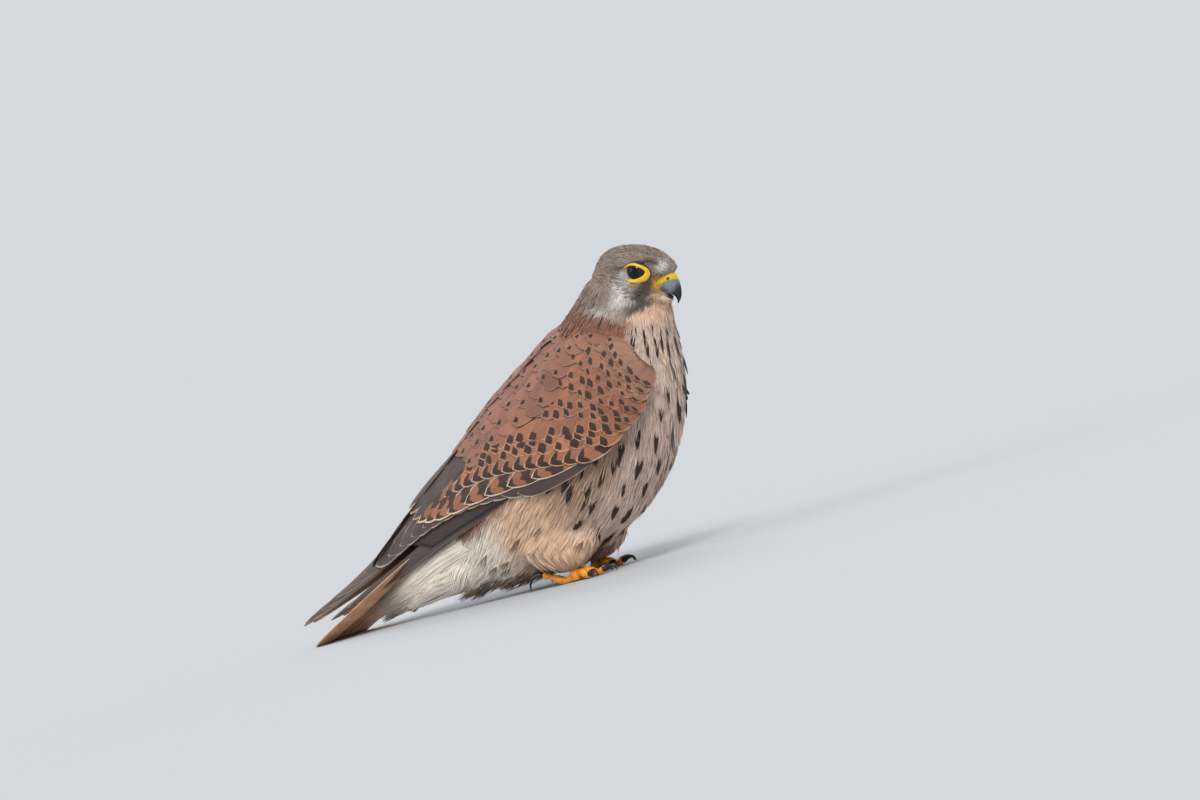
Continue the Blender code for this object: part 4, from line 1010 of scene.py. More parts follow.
# Each folded wing is an arm under overlapping rows of feathers: the long dark primaries and
# secondaries below, barred tertials, then greater, median and lesser coverts, and the chestnut
# scapulars on top. All lie on one curved sheet from the wrist to the wing's tip.
WING = (  # lower edge point, upper edge point, bulge and depth of the arm
    ((85.0, -26.0, 96.0), (76.0, -25.0, 109.0), 2.0, 5.0),
    ((79.0, -32.0, 82.0), (54.0, -15.0, 123.0), 11.0, 12.0),
    ((69.0, -35.5, 72.0), (31.0, -10.0, 125.0), 14.0, 15.0),
    ((50.0, -37.5, 61.5), (5.2, -7.0, 113.0), 13.0, 15.0),
    ((20.0, -37.0, 54.0), (-22.8, -6.0, 97.7), 12.0, 14.0),
    ((-12.0, -33.0, 49.0), (-50.8, -5.0, 78.9), 9.0, 10.0),
    ((-48.0, -26.5, 41.0), (-84.6, -4.5, 57.2), 5.0, 4.0),
    ((-95.0, -15.0, 28.0), (-121.0, -5.0, 33.0), 1.6, 1.4),
    ((-149.0, -8.0, 11.0), (-168.0, -6.0, 12.5), 0.4, 0.9),
)
LEFT_TUCK = 17.0


def wing_sheet(s, t, tuck):
    """The outer face of the right wing: from the lower edge towards the upper by t, plus the way out
    times the bulge times the parabola of t, with the wrist drawn back by tuck."""
    s, t = np.broadcast_arrays(np.asarray(s, float), np.asarray(t, float))
    rows = through([(*low, *high, bulge, wall) for low, high, bulge, wall in WING], s)
    low, high, bulge = rows[..., 0:3], rows[..., 3:6], rows[..., 6:7]
    chord = unit(high - low)
    outward = unit(np.array([0.0, -1.0, 0.0]) + chord * chord[..., 1:2])
    arch = (4 * t * (1 - t))[..., None]
    sheet = low + (high - low) * t[..., None] + outward * bulge * arch
    sheet[..., 0] -= tuck * np.clip(1 - s / 3.4, 0, 1) ** 1.5
    return sheet


def wing_normal(s, t, tuck):
    """The way out of the sheet: the cross product of its two slopes, turned away from the body."""
    step = 0.02
    along = wing_sheet(np.minimum(s + step, 8.0), t, tuck) - wing_sheet(np.maximum(s - step, 0.0), t, tuck)
    across = wing_sheet(s, np.minimum(t + step, 1.0), tuck) - wing_sheet(s, np.maximum(t - step, 0.0), tuck)
    normal = unit(np.cross(along, across))
    return normal * -np.sign(normal[..., 1:2])


def across_body(points, side):
    """The right wing's points, mirrored to the left for the left wing."""
    return points * np.array([1.0, -side, 1.0])


def wing_row(name, side, root, tip, lifts, half_width, base, drop, bars, paint, rows=9, columns=7,
             blunt=0.3, lean=0.0, thickness=0.35, fray=0.0):
    """Feathers from roots to tips on the sheet, both in its s and t, lifted off it evenly from the
    first lift at the root to the second at the tip."""
    tuck = LEFT_TUCK if side > 0 else 0.0
    root, tip = np.asarray(root, float), np.asarray(tip, float)
    n = len(root)
    k = np.linspace(0, 1, rows)
    k = 1 - (1 - k) ** 1.35
    s = root[:, :1] + (tip[:, :1] - root[:, :1]) * k
    t = root[:, 1:] + (tip[:, 1:] - root[:, 1:]) * k
    up = wing_normal(s, t, tuck)
    lift = np.asarray(lifts[0]).reshape(-1, 1) * (1 - k) + np.asarray(lifts[1]).reshape(-1, 1) * k
    spine = across_body(wing_sheet(s, t, tuck) + up * lift[..., None], side)
    up = across_body(up, side)
    width = np.asarray(half_width).reshape(-1, 1) * np.ones((n, 1)) * blade_outline(k, blunt)[None]
    made = blades(spine, up, width, each(0.5, n), columns, lean=lean, fray=fray, thickness=thickness)
    bake = np.stack([0.02 + 0.96 * root[:, 0] / 8, 0.02 + 0.96 * root[:, 1]], -1)
    shade = np.broadcast_to(base, (n, 3)) * (1 + RNG.normal(0, 0.10, (n, 1)))
    dress(name, made, shade, drop, bars, bake, paint)


def line_of(first, last, count):
    """Evenly spaced places from first to last."""
    return np.linspace(np.asarray(first, float), np.asarray(last, float), count)


def wing_arm(side, word, paint):
    """The closed body of the folded arm: the sheet outside, and inside it less the depth times one
    minus the fourth power of the way from its middle."""
    tuck = LEFT_TUCK if side > 0 else 0.0
    outer, inner = 25, 16
    t = np.concatenate([np.linspace(0.02, 0.97, outer), np.linspace(0.97, 0.02, inner)[1:-1]])
    s = np.linspace(0.05, 6.5, 60)
    s, t = np.meshgrid(s, t, indexing="ij")
    rings = wing_sheet(s, t, tuck) - wing_normal(s, t, tuck) * 0.9
    wall = through([(row[3],) for row in WING], s)[..., 0]
    depth = wall * (0.25 + 0.75 * (1 - np.abs(2 * t - 1) ** 4))
    depth = np.where(np.arange(t.shape[1])[None] >= outer, depth, 0.0)
    rings = across_body(rings - wing_normal(s, t, tuck) * depth[..., None], side)
    count, around = rings.shape[:2]
    points, faces = closed_loft(lambda a, b: rings, 1.0, count, around)
    if side > 0:
        faces = [tuple(reversed(face)) for face in faces]
    arm = new_object("wing_arm_" + word, points, faces)
    back = np.append(s.ravel(), [0.0, 6.5])
    # Painted shade under the feathers: the arm's chestnut and slate-brown are darkened to seven tenths where
    # it shows between them.
    ground = mix(CHESTNUT * 0.7, SLATE_BROWN * 0.7, soft_step(back, 3.4, 4.4))
    set_attribute(arm.data, "base", "FLOAT_COLOR", ground)
    arm.data.materials.append(paint)
    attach(arm, "root")
    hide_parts("wing_" + word)


def flight_feathers(side, word):
    """Ten primaries and twelve secondaries: dark slate-brown, with thin pale edges."""
    paint = feather_paint("flight_feather_" + word, tone(52, 44, 42), tone(196, 178, 158), 0.5, 0.3, 0.90)
    tips = np.array([(8.0, 0.0), (7.75, 0.05), (8.0, 0.94), (7.95, 1.0), (7.72, 0.98), (7.5, 0.96),
                     (7.3, 0.93), (7.08, 0.9), (6.88, 0.84), (6.7, 0.78)])
    half_width = np.array([3.0, 3.6, 3.2, 4.0, 4.8, 5.4, 5.6, 5.6, 5.6, 5.6])
    i = np.arange(10)
    roots = np.stack([4.4 + 0.12 * i, 0.04 + 0.065 * i], -1)
    lift = -2.2 + 0.34 * i
    wing_row("primaries_" + word, side, roots, tips, (lift, lift * 0.5), half_width, SLATE_BROWN,
             NO_DROP, (1.0, 0.0, 0.35), paint, rows=16, columns=9, blunt=0.5, thickness=0.4)
    i = np.arange(12)
    roots = np.stack([2.6 + 0.24 * i, 0.03 + 0.045 * i], -1)
    tips = np.stack([4.75 + 0.20 * i, 0.03 + 0.060 * i], -1)
    wing_row("secondaries_" + word, side, roots, tips, (each(-0.8, 12), 0.2 + 0.10 * i), 5.6,
             SLATE_BROWN * 0.92, NO_DROP, (1.0, 0.0, 0.70), paint, rows=12, columns=9, blunt=0.2)


def tertial_feathers(side, word):
    """The innermost flight feathers: rufous with broad dark bars and a pale edge, the upper ones dark."""
    paint = feather_paint("tertial_" + word, tone(66, 50, 44), tone(222, 198, 172), 0.55, 0.3, 0.86)
    tips = np.array([(4.25, 0.10), (4.7, 0.14), (5.1, 0.19), (5.45, 0.25), (5.75, 0.31), (5.95, 0.38),
                     (6.05, 0.46), (6.1, 0.56), (6.1, 0.68), (6.05, 0.82), (6.0, 0.95)])
    n = len(tips)
    i = np.arange(n)
    roots = tips - np.stack([each(2.3, n), 0.06 + 0.002 * i], -1)
    bars = np.tile([4.5, 1.0, 0.9], (n, 1))
    bars[8:] = (4.5, 0.5, 0.5)
    base = np.array([RUFOUS if k < 8 else SLATE_BROWN * 0.8 for k in range(n)])
    wing_row("tertials_" + word, side, roots, tips, (each(-0.6, n), 1.0 + 0.15 * i), 5.2, base, NO_DROP, bars,
             paint, rows=12, columns=9, blunt=0.25, lean=0.1)


def covert_feathers(side, word):
    """Greater, median and lesser coverts in rows down the wing. The greater are barred, and the rest
    have a dark arrowhead near the tip of each feather."""
    paint = feather_paint("covert_" + word, tone(62, 44, 38), tone(216, 178, 150), 0.62, 0.25, 0.84)
    n = 14
    greater = line_of((2.2, 0.02), (4.45, 0.54), n)
    lift = (each(-0.7, n), each(1.6, n))
    wing_row("greater_coverts_" + word, side, greater, greater + (1.25, 0.02), lift, 4.8, RUFOUS,
             NO_DROP, (2.6, 1.0, 0.6), paint, blunt=0.35)
    rows = []
    ends = (((2.05, 0.03), (4.15, 0.52)), ((1.8, 0.02), (3.9, 0.54)), ((1.55, 0.02), (3.65, 0.54)))
    for r, (first, last) in enumerate(ends):
        rows.append(line_of(first, last, 11) + (0.06 * (r % 2), 0.022 * (r % 2)))
    median = np.vstack(rows)
    n = len(median)
    median = median + RNG.normal(0, (0.03, 0.006), (n, 2))
    lift = (each(-0.5, n), np.repeat(1.8 + 0.15 * np.arange(3), 11))
    wing_row("median_coverts_" + word, side, median, median + (0.80, 0.02), lift, 4.6, RUFOUS,
             np.stack([RNG.uniform(0.75, 1.05, n), RNG.uniform(0.60, 0.68, n), each(0.97, n)], -1),
             (1.0, 0.0, 0.40), paint, rows=8, columns=7, blunt=0.4, thickness=0.25)
    rows = []
    for r in range(8):
        s = 0.08 + 0.225 * r
        count = 7 + r // 2
        rows.append(line_of((s, 0.03), (s + 1.25 * r / 7, 0.76 - 0.025 * r), count) + (0, 0.035 * (r % 2)))
    lesser = np.vstack(rows)
    n = len(lesser)
    lesser = lesser + RNG.normal(0, (0.04, 0.010), (n, 2))
    lift = 2.5 - 0.35 * lesser[:, 0]
    marks = np.where(RNG.random(n) < 0.95, RNG.uniform(0.5, 0.95, n), 0.1)
    # Painted shade at the wing's front edge, where it lies under the breast feathers: the lesser coverts
    # there turn to the shade brown.
    base = mix(mix(CHESTNUT, RUFOUS, 0.5), SHADE_BROWN * 0.75, 0.6 * soft_step(-lesser[:, 0], -1.1, -0.1))
    wing_row("lesser_coverts_" + word, side, lesser, lesser + (0.66, 0.01), (each(-0.4, n), lift), 4.4, base,
             np.stack([marks, RNG.uniform(0.56, 0.68, n), each(0.96, n)], -1),
             (1.0, 0.0, 0.20), paint, rows=7, columns=7, blunt=0.42, thickness=0.2)


def scapular_feathers(side, word):
    """The large soft chestnut feathers of the shoulder, with a black diamond on every other one."""
    paint = feather_paint("scapular_" + word, DARK_BROWN, tone(190, 148, 122), 0.66, 0.2, 0.86)
    rows, marked = [], []
    for r in range(13):
        s = 0.45 + 0.30 * r
        low = 0.80 - 0.040 * r if r < 7 else 0.56 + 0.012 * (r - 7)
        count = 5 + (r > 4)
        rows.append(line_of((s, low), (s, 1.0), count) + (0.04 * np.arange(count)[:, None] * (0.2, 0.0)))
        marked.append((np.arange(count) + r) % 2 == 0)
    roots = np.vstack(rows)
    marked = np.concatenate(marked)
    n = len(roots)
    roots = roots + RNG.normal(0, (0.03, 0.008), (n, 2))
    roots[:, 1] = np.minimum(roots[:, 1], 1.0)
    lift = 3.1 - 0.25 * roots[:, 0]
    drop = np.stack([np.where(marked, RNG.uniform(0.38, 0.52, n), 0.0), each(0.68, n), each(0.93, n)], -1)
    tips = roots + (0.80, -0.02)
    tips[:, 1] = np.clip(tips[:, 1], 0, 1)
    wing_row("scapulars_" + word, side, roots, tips, (each(-0.3, n), lift + 0.25 * marked), 5.8,
             CHESTNUT * (1 + RNG.normal(0, 0.04, (n, 1))), drop, (1.0, 0.0, 0.22), paint,
             rows=8, columns=9, blunt=0.42, thickness=0.25, fray=0.15)


def back_feathers():
    """The feathers that close the back between the wings, on a low arch from one upper edge to the
    other: chestnut in front, dark behind, where the tertials of both wings meet."""
    rows = np.arange(17)
    s = np.repeat(1.6 + 0.27 * rows, 5)
    a = np.tile(np.linspace(-1, 1, 5), 17) + np.repeat(0.25 * (rows % 2), 5) - 0.12
    n = len(s)
    k = np.linspace(0, 1, 8)[None, :]
    at = s[:, None] + 0.95 * k
    edge = wing_sheet(at, np.ones_like(at), 0.0)
    breadth = np.abs(edge[..., 1]) + 2.0
    lift = 0.2 + (2.3 - 0.25 * at) * k
    height = edge[..., 2] - 1.2 * a[:, None] ** 2 - 0.8 + lift
    spine = np.stack([edge[..., 0], a[:, None] * breadth, height], -1)
    slope = unit(np.gradient(spine, axis=1))
    up = unit(np.cross(slope, np.broadcast_to([0.0, 1.0, 0.0], slope.shape)))
    up = up * np.sign(up[..., 2:])
    width = 5.6 * blade_outline(k, 0.4) * np.ones((n, 1))
    made = blades(spine, up, width, each(0.8, n), 7, thickness=0.25)
    marked = (np.arange(n) % 4 == 0) & (s < 4.2)
    drop = np.stack([np.where(marked, 0.6, 0.0), each(0.6, n), each(0.93, n)], -1)
    base = mix(CHESTNUT, SLATE_BROWN * 0.75, soft_step(s, 3.9, 4.5))
    bake = np.stack([0.5 + 0.06 * a, 0.02 + 0.96 * s / 8], -1)
    paint = feather_paint("back_feather", DARK_BROWN, tone(190, 148, 122), 0.66, 0.2, 0.86)
    dress("back_feathers", made, base, drop, (1.0, 0.0, 0.25), bake, paint)


for wing_side, wing_word in ((-1, "right"), (1, "left")):
    wing_arm(wing_side, wing_word, bpy.data.materials["down_under_feathers"])
    flight_feathers(wing_side, wing_word)
    tertial_feathers(wing_side, wing_word)
    covert_feathers(wing_side, wing_word)
    scapular_feathers(wing_side, wing_word)
back_feathers()

# The tail is twelve long straight feathers in a closed fan, the middle pair on top. They are rufous
# with faint narrow bars.
TAIL_ROOT_X, TAIL_TIP_X, TAIL_SLOPE = -48.0, -159.0, 0.447
TAIL_ROLL = (0.34, 0.10)  # at the root and at the tip: the left edge hangs lower


def tail_paint():
    """Rufous tail feathers: the markings group, with its own dark and pale."""
    return feather_paint("tail_feather", tone(78, 58, 48), tone(212, 184, 154), 0.55, 0.3, 0.90)


def tail_feathers():
    """Spines from the tail's root to its tip: length falls and the fan widens with each pair, and each
    lies under the pair before it. The height follows the tail's slope and its roll."""
    k = np.linspace(0, 1, 22)[None, :]
    pair = np.repeat(np.arange(6), 2)[:, None]
    side = np.tile([1.0, -1.0], 6)[:, None]
    x = TAIL_ROOT_X - (TAIL_ROOT_X - TAIL_TIP_X + 1.5 - 0.6 * pair) * k
    y = side * (0.6 + 1.1 * pair) + side * (0.5 + 1.6 * pair) * k
    way = np.clip((TAIL_ROOT_X - x) / (TAIL_ROOT_X - TAIL_TIP_X), 0, 1)
    roll = TAIL_ROLL[0] + (TAIL_ROLL[1] - TAIL_ROLL[0]) * way
    z = (x - TAIL_TIP_X) * TAIL_SLOPE - roll * y + 0.5 - 0.62 * pair - 0.12 * (side < 0) + 1.2 * k * (1 - k)
    spine = np.stack([x, y, np.maximum(z, 0.45)], -1)
    up = unit(np.stack([0 * roll - TAIL_SLOPE, roll, 0 * roll + 1.0], -1))
    width = 7.0 * blade_outline(k, 0.10) * np.ones((12, 1))
    made = blades(spine, up, width, each(0.2, 12), 11, thickness=0.4)
    bake = np.stack([0.04 + 0.08 * np.arange(12), each(0.5, 12)], -1)
    dress("tail_feathers", made, tone(222, 164, 122), NO_DROP, (11.0, 0.22, 0.55), bake, tail_paint(),
          ("tail",))


tail_feathers()

# The eyes are wet and almost black, with a dark-brown iris that only shows close to. Each sits in
# its socket behind a bare yellow rim that is wider towards the bill.
EYE_RADIUS = 5.6
# The width of the dark band of painted shade in the crease round the yellow rim.
CREASE_SHADE_WIDTH = 0.8


def first_of(tree, name):
    """The first number of an attribute that is kept as a vector."""
    vector = add(tree, "ShaderNodeAttribute", attribute_name=name).outputs["Vector"]
    return add(tree, "ShaderNodeSeparateXYZ", vector).outputs[0]


def eye_paint():
    """Dark brown round a black pupil, by the distance from the gaze, kept as an attribute."""
    paint = bpy.data.materials.new("eye")
    paint.use_nodes = True
    tree = paint.node_tree
    shader = tree.nodes["Principled BSDF"]
    gaze = first_of(tree, "gaze")
    ring = ramp(tree, gaze, 0.44, 0.52)
    colour = blend(tree, ring, (0.002, 0.002, 0.002, 1), (0.022, 0.011, 0.006, 1))
    colour = blend(tree, ramp(tree, gaze, 0.86, 0.95), colour, (0.004, 0.003, 0.003, 1))
    tree.links.new(colour, shader.inputs["Base Color"])
    shader.inputs["Roughness"].default_value = 0.03
    shader.inputs["IOR"].default_value = 1.34
    return paint


def horn_paint(name, colour, dark, roughness, scale, bump):
    """Horn or bare skin: a colour that a noise darkens in patches and roughens in grain."""
    paint = bpy.data.materials.new(name)
    paint.use_nodes = True
    tree = paint.node_tree
    shader = tree.nodes["Principled BSDF"]
    place = add(tree, "ShaderNodeTexCoord").outputs["Object"]
    patches = add(tree, "ShaderNodeTexNoise", place)
    patches.inputs["Scale"].default_value = scale
    tree.links.new(blend(tree, ramp(tree, patches.outputs[0], 0.35, 0.75), (*colour, 1), (*dark, 1)),
                   shader.inputs["Base Color"])
    grain = add(tree, "ShaderNodeTexNoise", place)
    grain.inputs["Scale"].default_value = scale * 4
    relief = add(tree, "ShaderNodeBump")
    relief.inputs["Strength"].default_value = bump
    relief.inputs["Distance"].default_value = 0.0002
    tree.links.new(grain.outputs[0], relief.inputs["Height"])
    tree.links.new(relief.outputs[0], shader.inputs["Normal"])
    rough = sum_of(tree, "MULTIPLY_ADD", grain.outputs[0], 0.2, roughness - 0.1)
    tree.links.new(rough, shader.inputs["Roughness"])
    return paint


def finish_piece(thing, paint, slot, *nodes):
    """Gives a piece its material and its body, and hides the nodes that it stands for. The slot is not used.
    """
    thing.data.materials.append(paint)
    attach(thing, "root")
    if nodes:
        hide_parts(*nodes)


def eyeball(side, word, paint):
    """A ball whose poles lie on the gaze: the radius times the sine and cosine of the angle off it."""
    off, turn = np.meshgrid(np.linspace(0.02, math.pi - 0.02, 40), full_turn(64), indexing="ij")
    ball = np.stack([np.sin(off) * np.cos(turn), side * np.cos(off), np.sin(off) * np.sin(turn)], -1)
    rings = from_head(ball * EYE_RADIUS + EYE_CENTRE * (1, side, 1))
    points, faces = closed_loft(lambda a, b: rings, 1.0, 40, 64)
    if side < 0:
        faces = [tuple(reversed(face)) for face in faces]
    eye = new_object("eyeball_" + word, points, faces)
    gaze = np.concatenate([off.ravel(), [0.0, math.pi]]) / 1.15
    set_attribute(eye.data, "gaze", "FLOAT_VECTOR", np.stack([gaze, 0 * gaze, 0 * gaze], -1))
    finish_piece(eye, paint, "eye_ball", "eye_" + word)


def rim_paint():
    """Bare yellow skin that ends in a dark band of painted shade, in the crease where the rim meets the
    feathers, by the attribute of how far into that band it is.
    """
    paint = horn_paint("yellow_rim", tone(228, 186, 30), tone(206, 150, 16), 0.45, 700.0, 0.3)
    tree = paint.node_tree
    shader = tree.nodes["Principled BSDF"]
    yellow = shader.inputs["Base Color"].links[0].from_socket
    crease_shade = first_of(tree, "crease_shade")
    tree.links.new(blend(tree, crease_shade, yellow, (*tone(48, 42, 38), 1)), shader.inputs["Base Color"])
    return paint


def eye_rim(side, word, paint):
    """A band from the ball out to the skin: at each turn a row from the opening's edge, which lies on
    the ball, to the edge of the dark band of painted shade in the crease round the yellow, which is
    wrapped on to the skin, raised by a half sine between."""
    turn, w = np.meshgrid(full_turn(96), np.linspace(0, 1, 13), indexing="ij")
    inner, breadth = eye_opening(turn)
    r = inner + (breadth + CREASE_SHADE_WIDTH) * w
    x = EYE_CENTRE[0] + r * np.cos(turn)
    z = EYE_CENTRE[2] + r * np.sin(turn)
    ball_y = EYE_CENTRE[1] + np.sqrt(EYE_RADIUS**2 - inner**2) - 0.1
    ball = EYE_CENTRE[1] + np.sqrt(np.maximum(EYE_RADIUS**2 - r**2, 0))
    edge = np.stack([x[:, -1], 0 * x[:, -1] + 13.0, z[:, -1]], -1) * (1, side, 1)
    found, _ = on_skin(from_head(edge)[:, None])
    edge_y = np.abs(to_head(found[:, 0])[:, 1])[:, None] + 0.25
    y = ball_y * (1 - w) + edge_y * w + 0.75 * np.sin(np.pi * w) + 0.22 * np.exp(-((w - 0.12) / 0.1) ** 2)
    y = np.where((r < EYE_RADIUS) & (w > 0.05), np.maximum(y, ball + 0.15), y)
    grid = from_head(np.stack([x, y * side, z], -1))
    i, j = np.meshgrid(np.arange(96), np.arange(12), indexing="ij")
    k = (i + 1) % 96
    faces = np.stack([i * 13 + j, i * 13 + j + 1, k * 13 + j + 1, k * 13 + j], -1).reshape(-1, 4)
    if side > 0:
        faces = faces[:, ::-1]
    rim = new_object("eye_rim_" + word, grid.reshape(-1, 3), faces.tolist())
    # Painted shade in the crease where the raised rim meets the feathers: its outer band is dark.
    crease_shade = soft_step(r - inner - breadth, 0.0, 0.3).ravel()
    set_attribute(rim.data, "crease_shade", "FLOAT_VECTOR", np.stack([crease_shade, crease_shade, crease_shade], -1))
    finish_piece(rim, paint, "bill_horn")


eye_finish = eye_paint()
rim_finish = rim_paint()
for eye_side, eye_word in ((1, "left"), (-1, "right")):
    eyeball(eye_side, eye_word, eye_finish)
    eye_rim(eye_side, eye_word, rim_finish)

# The bill is a hooked upper half over a short lower half, blue-grey horn with a black tip. A waxy
# yellow cere covers its root, pierced on each side by a round nostril.
UPPER_BILL = (  # ridge x, ridge z, edge x, edge z, half width
    (7.0, -1.2, 4.0, -8.8, 4.6),
    (11.6, -0.4, 8.0, -10.0, 5.1),
    (15.2, -1.4, 11.4, -10.8, 4.4),
    (17.7, -4.2, 13.6, -11.8, 3.3),
    (19.1, -7.6, 15.2, -12.6, 2.3),
    (19.6, -11.2, 16.4, -13.5, 1.5),
    (19.2, -14.0, 17.2, -15.0, 0.8),
    (17.8, -16.6, 17.4, -16.8, 0.25),
)
LOWER_BILL = (
    (4.0, -9.5, 4.6, -13.2, 4.2),
    (8.0, -10.6, 8.2, -14.6, 3.9),
    (11.4, -11.4, 11.2, -15.0, 3.1),
    (13.4, -12.3, 13.0, -14.8, 2.0),
    (14.6, -13.1, 14.4, -14.4, 1.0),
    (15.0, -13.7, 14.9, -13.9, 0.3),
)
NOSTRIL = np.array([14.0, 3.6, -3.9])


def bill_surface(table, s, a, grow, crease):
    """Rings from the ridge to the cutting edge, narrowed towards the ridge by the crease."""
    rows = through(table, s)
    ridge = np.stack([rows[..., 0], 0 * s, rows[..., 1]], -1)
    edge = np.stack([rows[..., 2], 0 * s, rows[..., 3]], -1)
    middle, half = (ridge + edge) / 2, (ridge - edge) / 2
    half = half * (1 + grow / np.maximum(np.linalg.norm(half, axis=-1, keepdims=True), 0.4))
    points = middle + half * np.cos(a)[..., None]
    points[..., 1] = np.sin(a) * (1 - crease * np.cos(a)) * (rows[..., 4] + grow)
    return points


def bill_paint():
    """Blue-grey horn that darkens to black by its place along the bill."""
    paint = horn_paint("bill_horn", tone(126, 132, 142), tone(100, 106, 116), 0.3, 500.0, 0.12)
    tree = paint.node_tree
    shader = tree.nodes["Principled BSDF"]
    along = first_of(tree, "along")
    horn = shader.inputs["Base Color"].links[0].from_socket
    tip = ramp(tree, along, 0.40, 0.62)
    root = ramp(tree, along, 0.25, 0.10)
    colour = blend(tree, root, blend(tree, tip, horn, (*tone(24, 24, 28), 1)), (*tone(206, 186, 120), 1))
    tree.links.new(colour, shader.inputs["Base Color"])
    return paint


def bill_piece(name, table, crease, node, paint):
    """A half of the bill on a fine grid, with how far along it each point is."""
    last = len(table) - 1
    points, faces = closed_loft(lambda s, a: bill_surface(table, s, a, 0.0, crease), last, 56, 48)
    piece = new_object(name, from_head(points), faces)
    along = np.concatenate([np.repeat(np.linspace(0, 1, 56), 48), [0.0, 1.0]])
    set_attribute(piece.data, "along", "FLOAT_VECTOR", np.stack([along, 0 * along, 0 * along], -1))
    finish_piece(piece, paint, "bill_horn", node)


def cere():
    """The cere: the root of the upper bill, 0.45 mm thicker, rounded off at its front edge, with a
    pit of Gaussian depth at each nostril inside a low rim."""
    def shape(s, a):
        end = np.clip((1.68 + 1.37 * np.cos(a) - s) / 0.35, 0, 1)
        points = bill_surface(UPPER_BILL, s, a, 0.0, 0.25)
        out = bill_surface(UPPER_BILL, s, a, 1.0, 0.25) - points
        off = points - NOSTRIL * np.stack([np.ones_like(s), np.sign(points[..., 1]), np.ones_like(s)], -1)
        r = np.hypot(off[..., 0], off[..., 2])
        swell = 0.45 * np.sqrt(end) - 0.38 * np.exp(-(r / 0.8) ** 4) + 0.3 * np.exp(-((r - 1.35) / 0.4) ** 2)
        return points + unit(out) * (swell - 0.05 - 0.5 * (end <= 0))[..., None]

    points, faces = closed_loft(shape, 3.3, 130, 120)
    piece = new_object("cere", from_head(points), faces)
    off = points - NOSTRIL * np.stack([np.ones(len(points)), np.sign(points[:, 1]), np.ones(len(points))], -1)
    pit = np.exp(-(np.hypot(off[:, 0], off[:, 2]) / 0.85) ** 4)
    set_attribute(piece.data, "pit", "FLOAT_VECTOR", np.stack([pit, pit, pit], -1))
    paint = horn_paint("cere_skin", tone(224, 186, 30), tone(204, 158, 20), 0.42, 600.0, 0.25)
    tree = paint.node_tree
    shader = tree.nodes["Principled BSDF"]
    waxy = shader.inputs["Base Color"].links[0].from_socket
    # Painted shade in each nostril: the shallow pit is painted near-black for the dark of the opening.
    hollow = first_of(tree, "pit")
    tree.links.new(blend(tree, ramp(tree, hollow, 0.25, 0.75), waxy, (*tone(26, 20, 14), 1)),
                   shader.inputs["Base Color"])
    finish_piece(piece, paint, "bill_horn")


bill_finish = bill_paint()
bill_piece("upper_bill", UPPER_BILL, 0.25, "bill_upper", bill_finish)
bill_piece("lower_bill", LOWER_BILL, -0.2, "bill_lower", bill_finish)
cere()

# The legs are short under the trousers. Each foot is a pad with three front toes and a hind toe,
# orange-yellow skin ringed with scutes above and pimpled pads below, and each toe ends in a black
# curved claw.
TOES = (  # name, direction in degrees, length, height of the bend, claw length
    ("middle", -2.0, 15.0, 6.4, 8.0),
    ("inner", 30.0, 11.5, 6.0, 8.0),
    ("outer", -30.0, 11.5, 5.4, 7.0),
    ("hind", 180.0, 18.5, 6.0, 9.5),
)
FOOT_X = {"left": -0.4, "right": 5.0}


def tube_shell(path, radii, around, scutes=0.0, period=1.5):
    """A closed bar along a path: rings across it, pinched between scutes by a power of a sine of the
    length along it, on the upper half only."""
    path = np.asarray(path, float)
    along = unit(np.gradient(path, axis=0))
    guide = np.where(np.abs(along[:, 2:]) > 0.9, [[0.0, 1.0, 0.0]], [[0.0, 0.0, 1.0]])
    across = unit(np.cross(along, guide))
    over = np.cross(across, along)
    turn = full_turn(around)
    run = np.concatenate([[0], np.cumsum(np.linalg.norm(np.diff(path, axis=0), axis=1))])
    groove = scutes * np.abs(np.cos(math.pi * run / period)) ** 6
    above = np.clip(np.sin(turn) + 0.35, 0, 1)
    radius = np.asarray(radii)[:, None] - groove[:, None] * above[None]
    rings = path[:, None] + radius[..., None] * (np.cos(turn)[None, :, None] * across[:, None]
                                                 + np.sin(turn)[None, :, None] * over[:, None])
    return closed_loft(lambda a, b: rings, 1.0, len(path), around)


def toe_path(word, side, angle_deg, length, height, hind, count):
    """The centre line of a toe: out along its direction and up and down through its joints."""
    angle = math.radians(angle_deg * side + 1.7)
    out = np.array([math.cos(angle), math.sin(angle), 0.0])
    if hind:
        stations = ((0.06, 2.9), (0.35, 1.7), (0.7, 4.6), (1.0, 7.6))
    else:
        stations = ((0.10, 3.3), (0.34, height - 1.6), (0.58, 3.4), (0.8, 1.75), (1.0, 2.3))
    rows = through(stations, np.linspace(0, len(stations) - 1, count))
    path = np.array([FOOT_X[word], FOOT_SPREAD * side, 0.0]) + out * (rows[:, :1] * length)
    path[:, 2] = rows[:, 1]
    return path, out


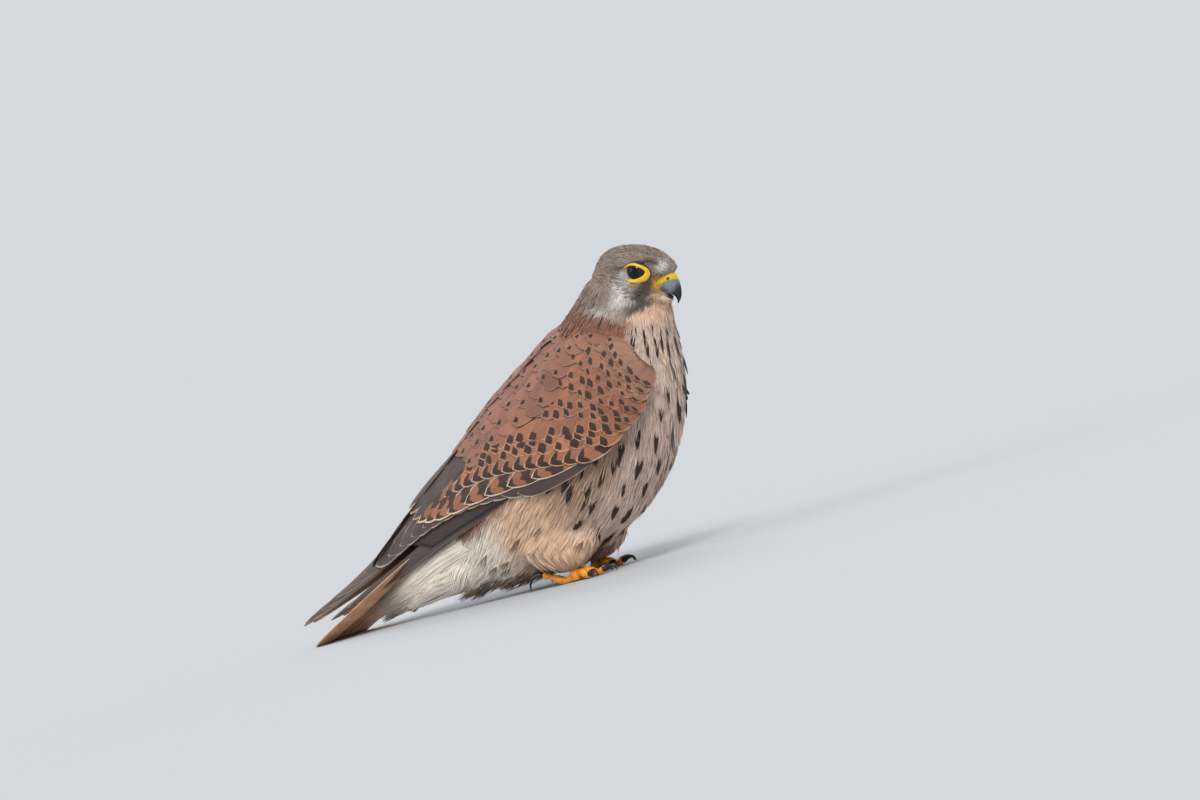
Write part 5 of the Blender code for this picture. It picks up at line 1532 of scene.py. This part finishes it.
def foot(word, side, paint, claw_paint):
    """The shells of the leg, the ankle and the toes, fused at a fine grain, and the claws."""
    x, y = FOOT_X[word], FOOT_SPREAD * side
    k = np.linspace(0, 1, 60)
    leg = through(((x - 1.9, y, 17.0), (x - 1.2, y, 12.0), (x - 0.4, y, 8.0), (x, y, 4.0)), k * 3)
    shells = [tube_shell(leg, 2.0 + 0.5 * k, 24, 0.25, 1.7)]
    ankle = np.linspace((x, y, 5.4), (x, y, 0.7), 12)
    shells.append(tube_shell(ankle, 2.7 + 0.6 * np.sin(np.linspace(0.6, 2.8, 12)), 24))
    for name, angle, length, height, claw in TOES:
        hind = name == "hind"
        path, out = toe_path(word, side, angle, length, height, hind, 90)
        k = np.linspace(0, 1, 90)
        radii = 2.05 + 0.32 * np.cos(k * 4 * math.pi) - 0.42 * k
        radii = radii * np.sqrt(np.clip((1.02 - k) / 0.08, 0.3, 1))
        shells.append(tube_shell(path, radii, 28, 0.30, 1.35))
        claw_piece(f"{name}_claw_{word}", path[-1], out, claw, hind, claw_paint, f"claw_{name}_{word}")
    whole = fused("foot_skin_" + word, shells, 0.32, 2)
    finish_piece(whole, paint, "leg_skin", "foot_" + word, "leg_" + word)


def claw_piece(name, start, out, length, hind, paint, node):
    """A tapered bar that rises from the toe's end by a sine and drops to the floor by a power."""
    base = start + out * 0.6
    k = np.linspace(0, 1, 40)[:, None]
    drop = (base[2] - 0.25) * k**2.2
    path = base + out * (length * 0.9 * np.sin(k * math.pi / 2))
    path = path + np.array([0, 0, 1.0]) * ((0.6 if hind else 1.6) * np.sin(k * math.pi) - drop)
    path[:, 2] = np.maximum(path[:, 2], 0.25)
    points, faces = tube_shell(path, 1.42 * (1 - k[:, 0]) ** 0.75 + 0.1, 20)
    finish_piece(new_object(name, points, faces), paint, "claw_horn", node)


foot_finish = horn_paint("foot_skin", tone(232, 152, 34), tone(206, 116, 26), 0.5, 420.0, 0.6)
claw_finish = horn_paint("black_claw", tone(26, 25, 27), tone(46, 43, 42), 0.25, 300.0, 0.1)
foot("left", 1, foot_finish, claw_finish)
foot("right", -1, foot_finish, claw_finish)
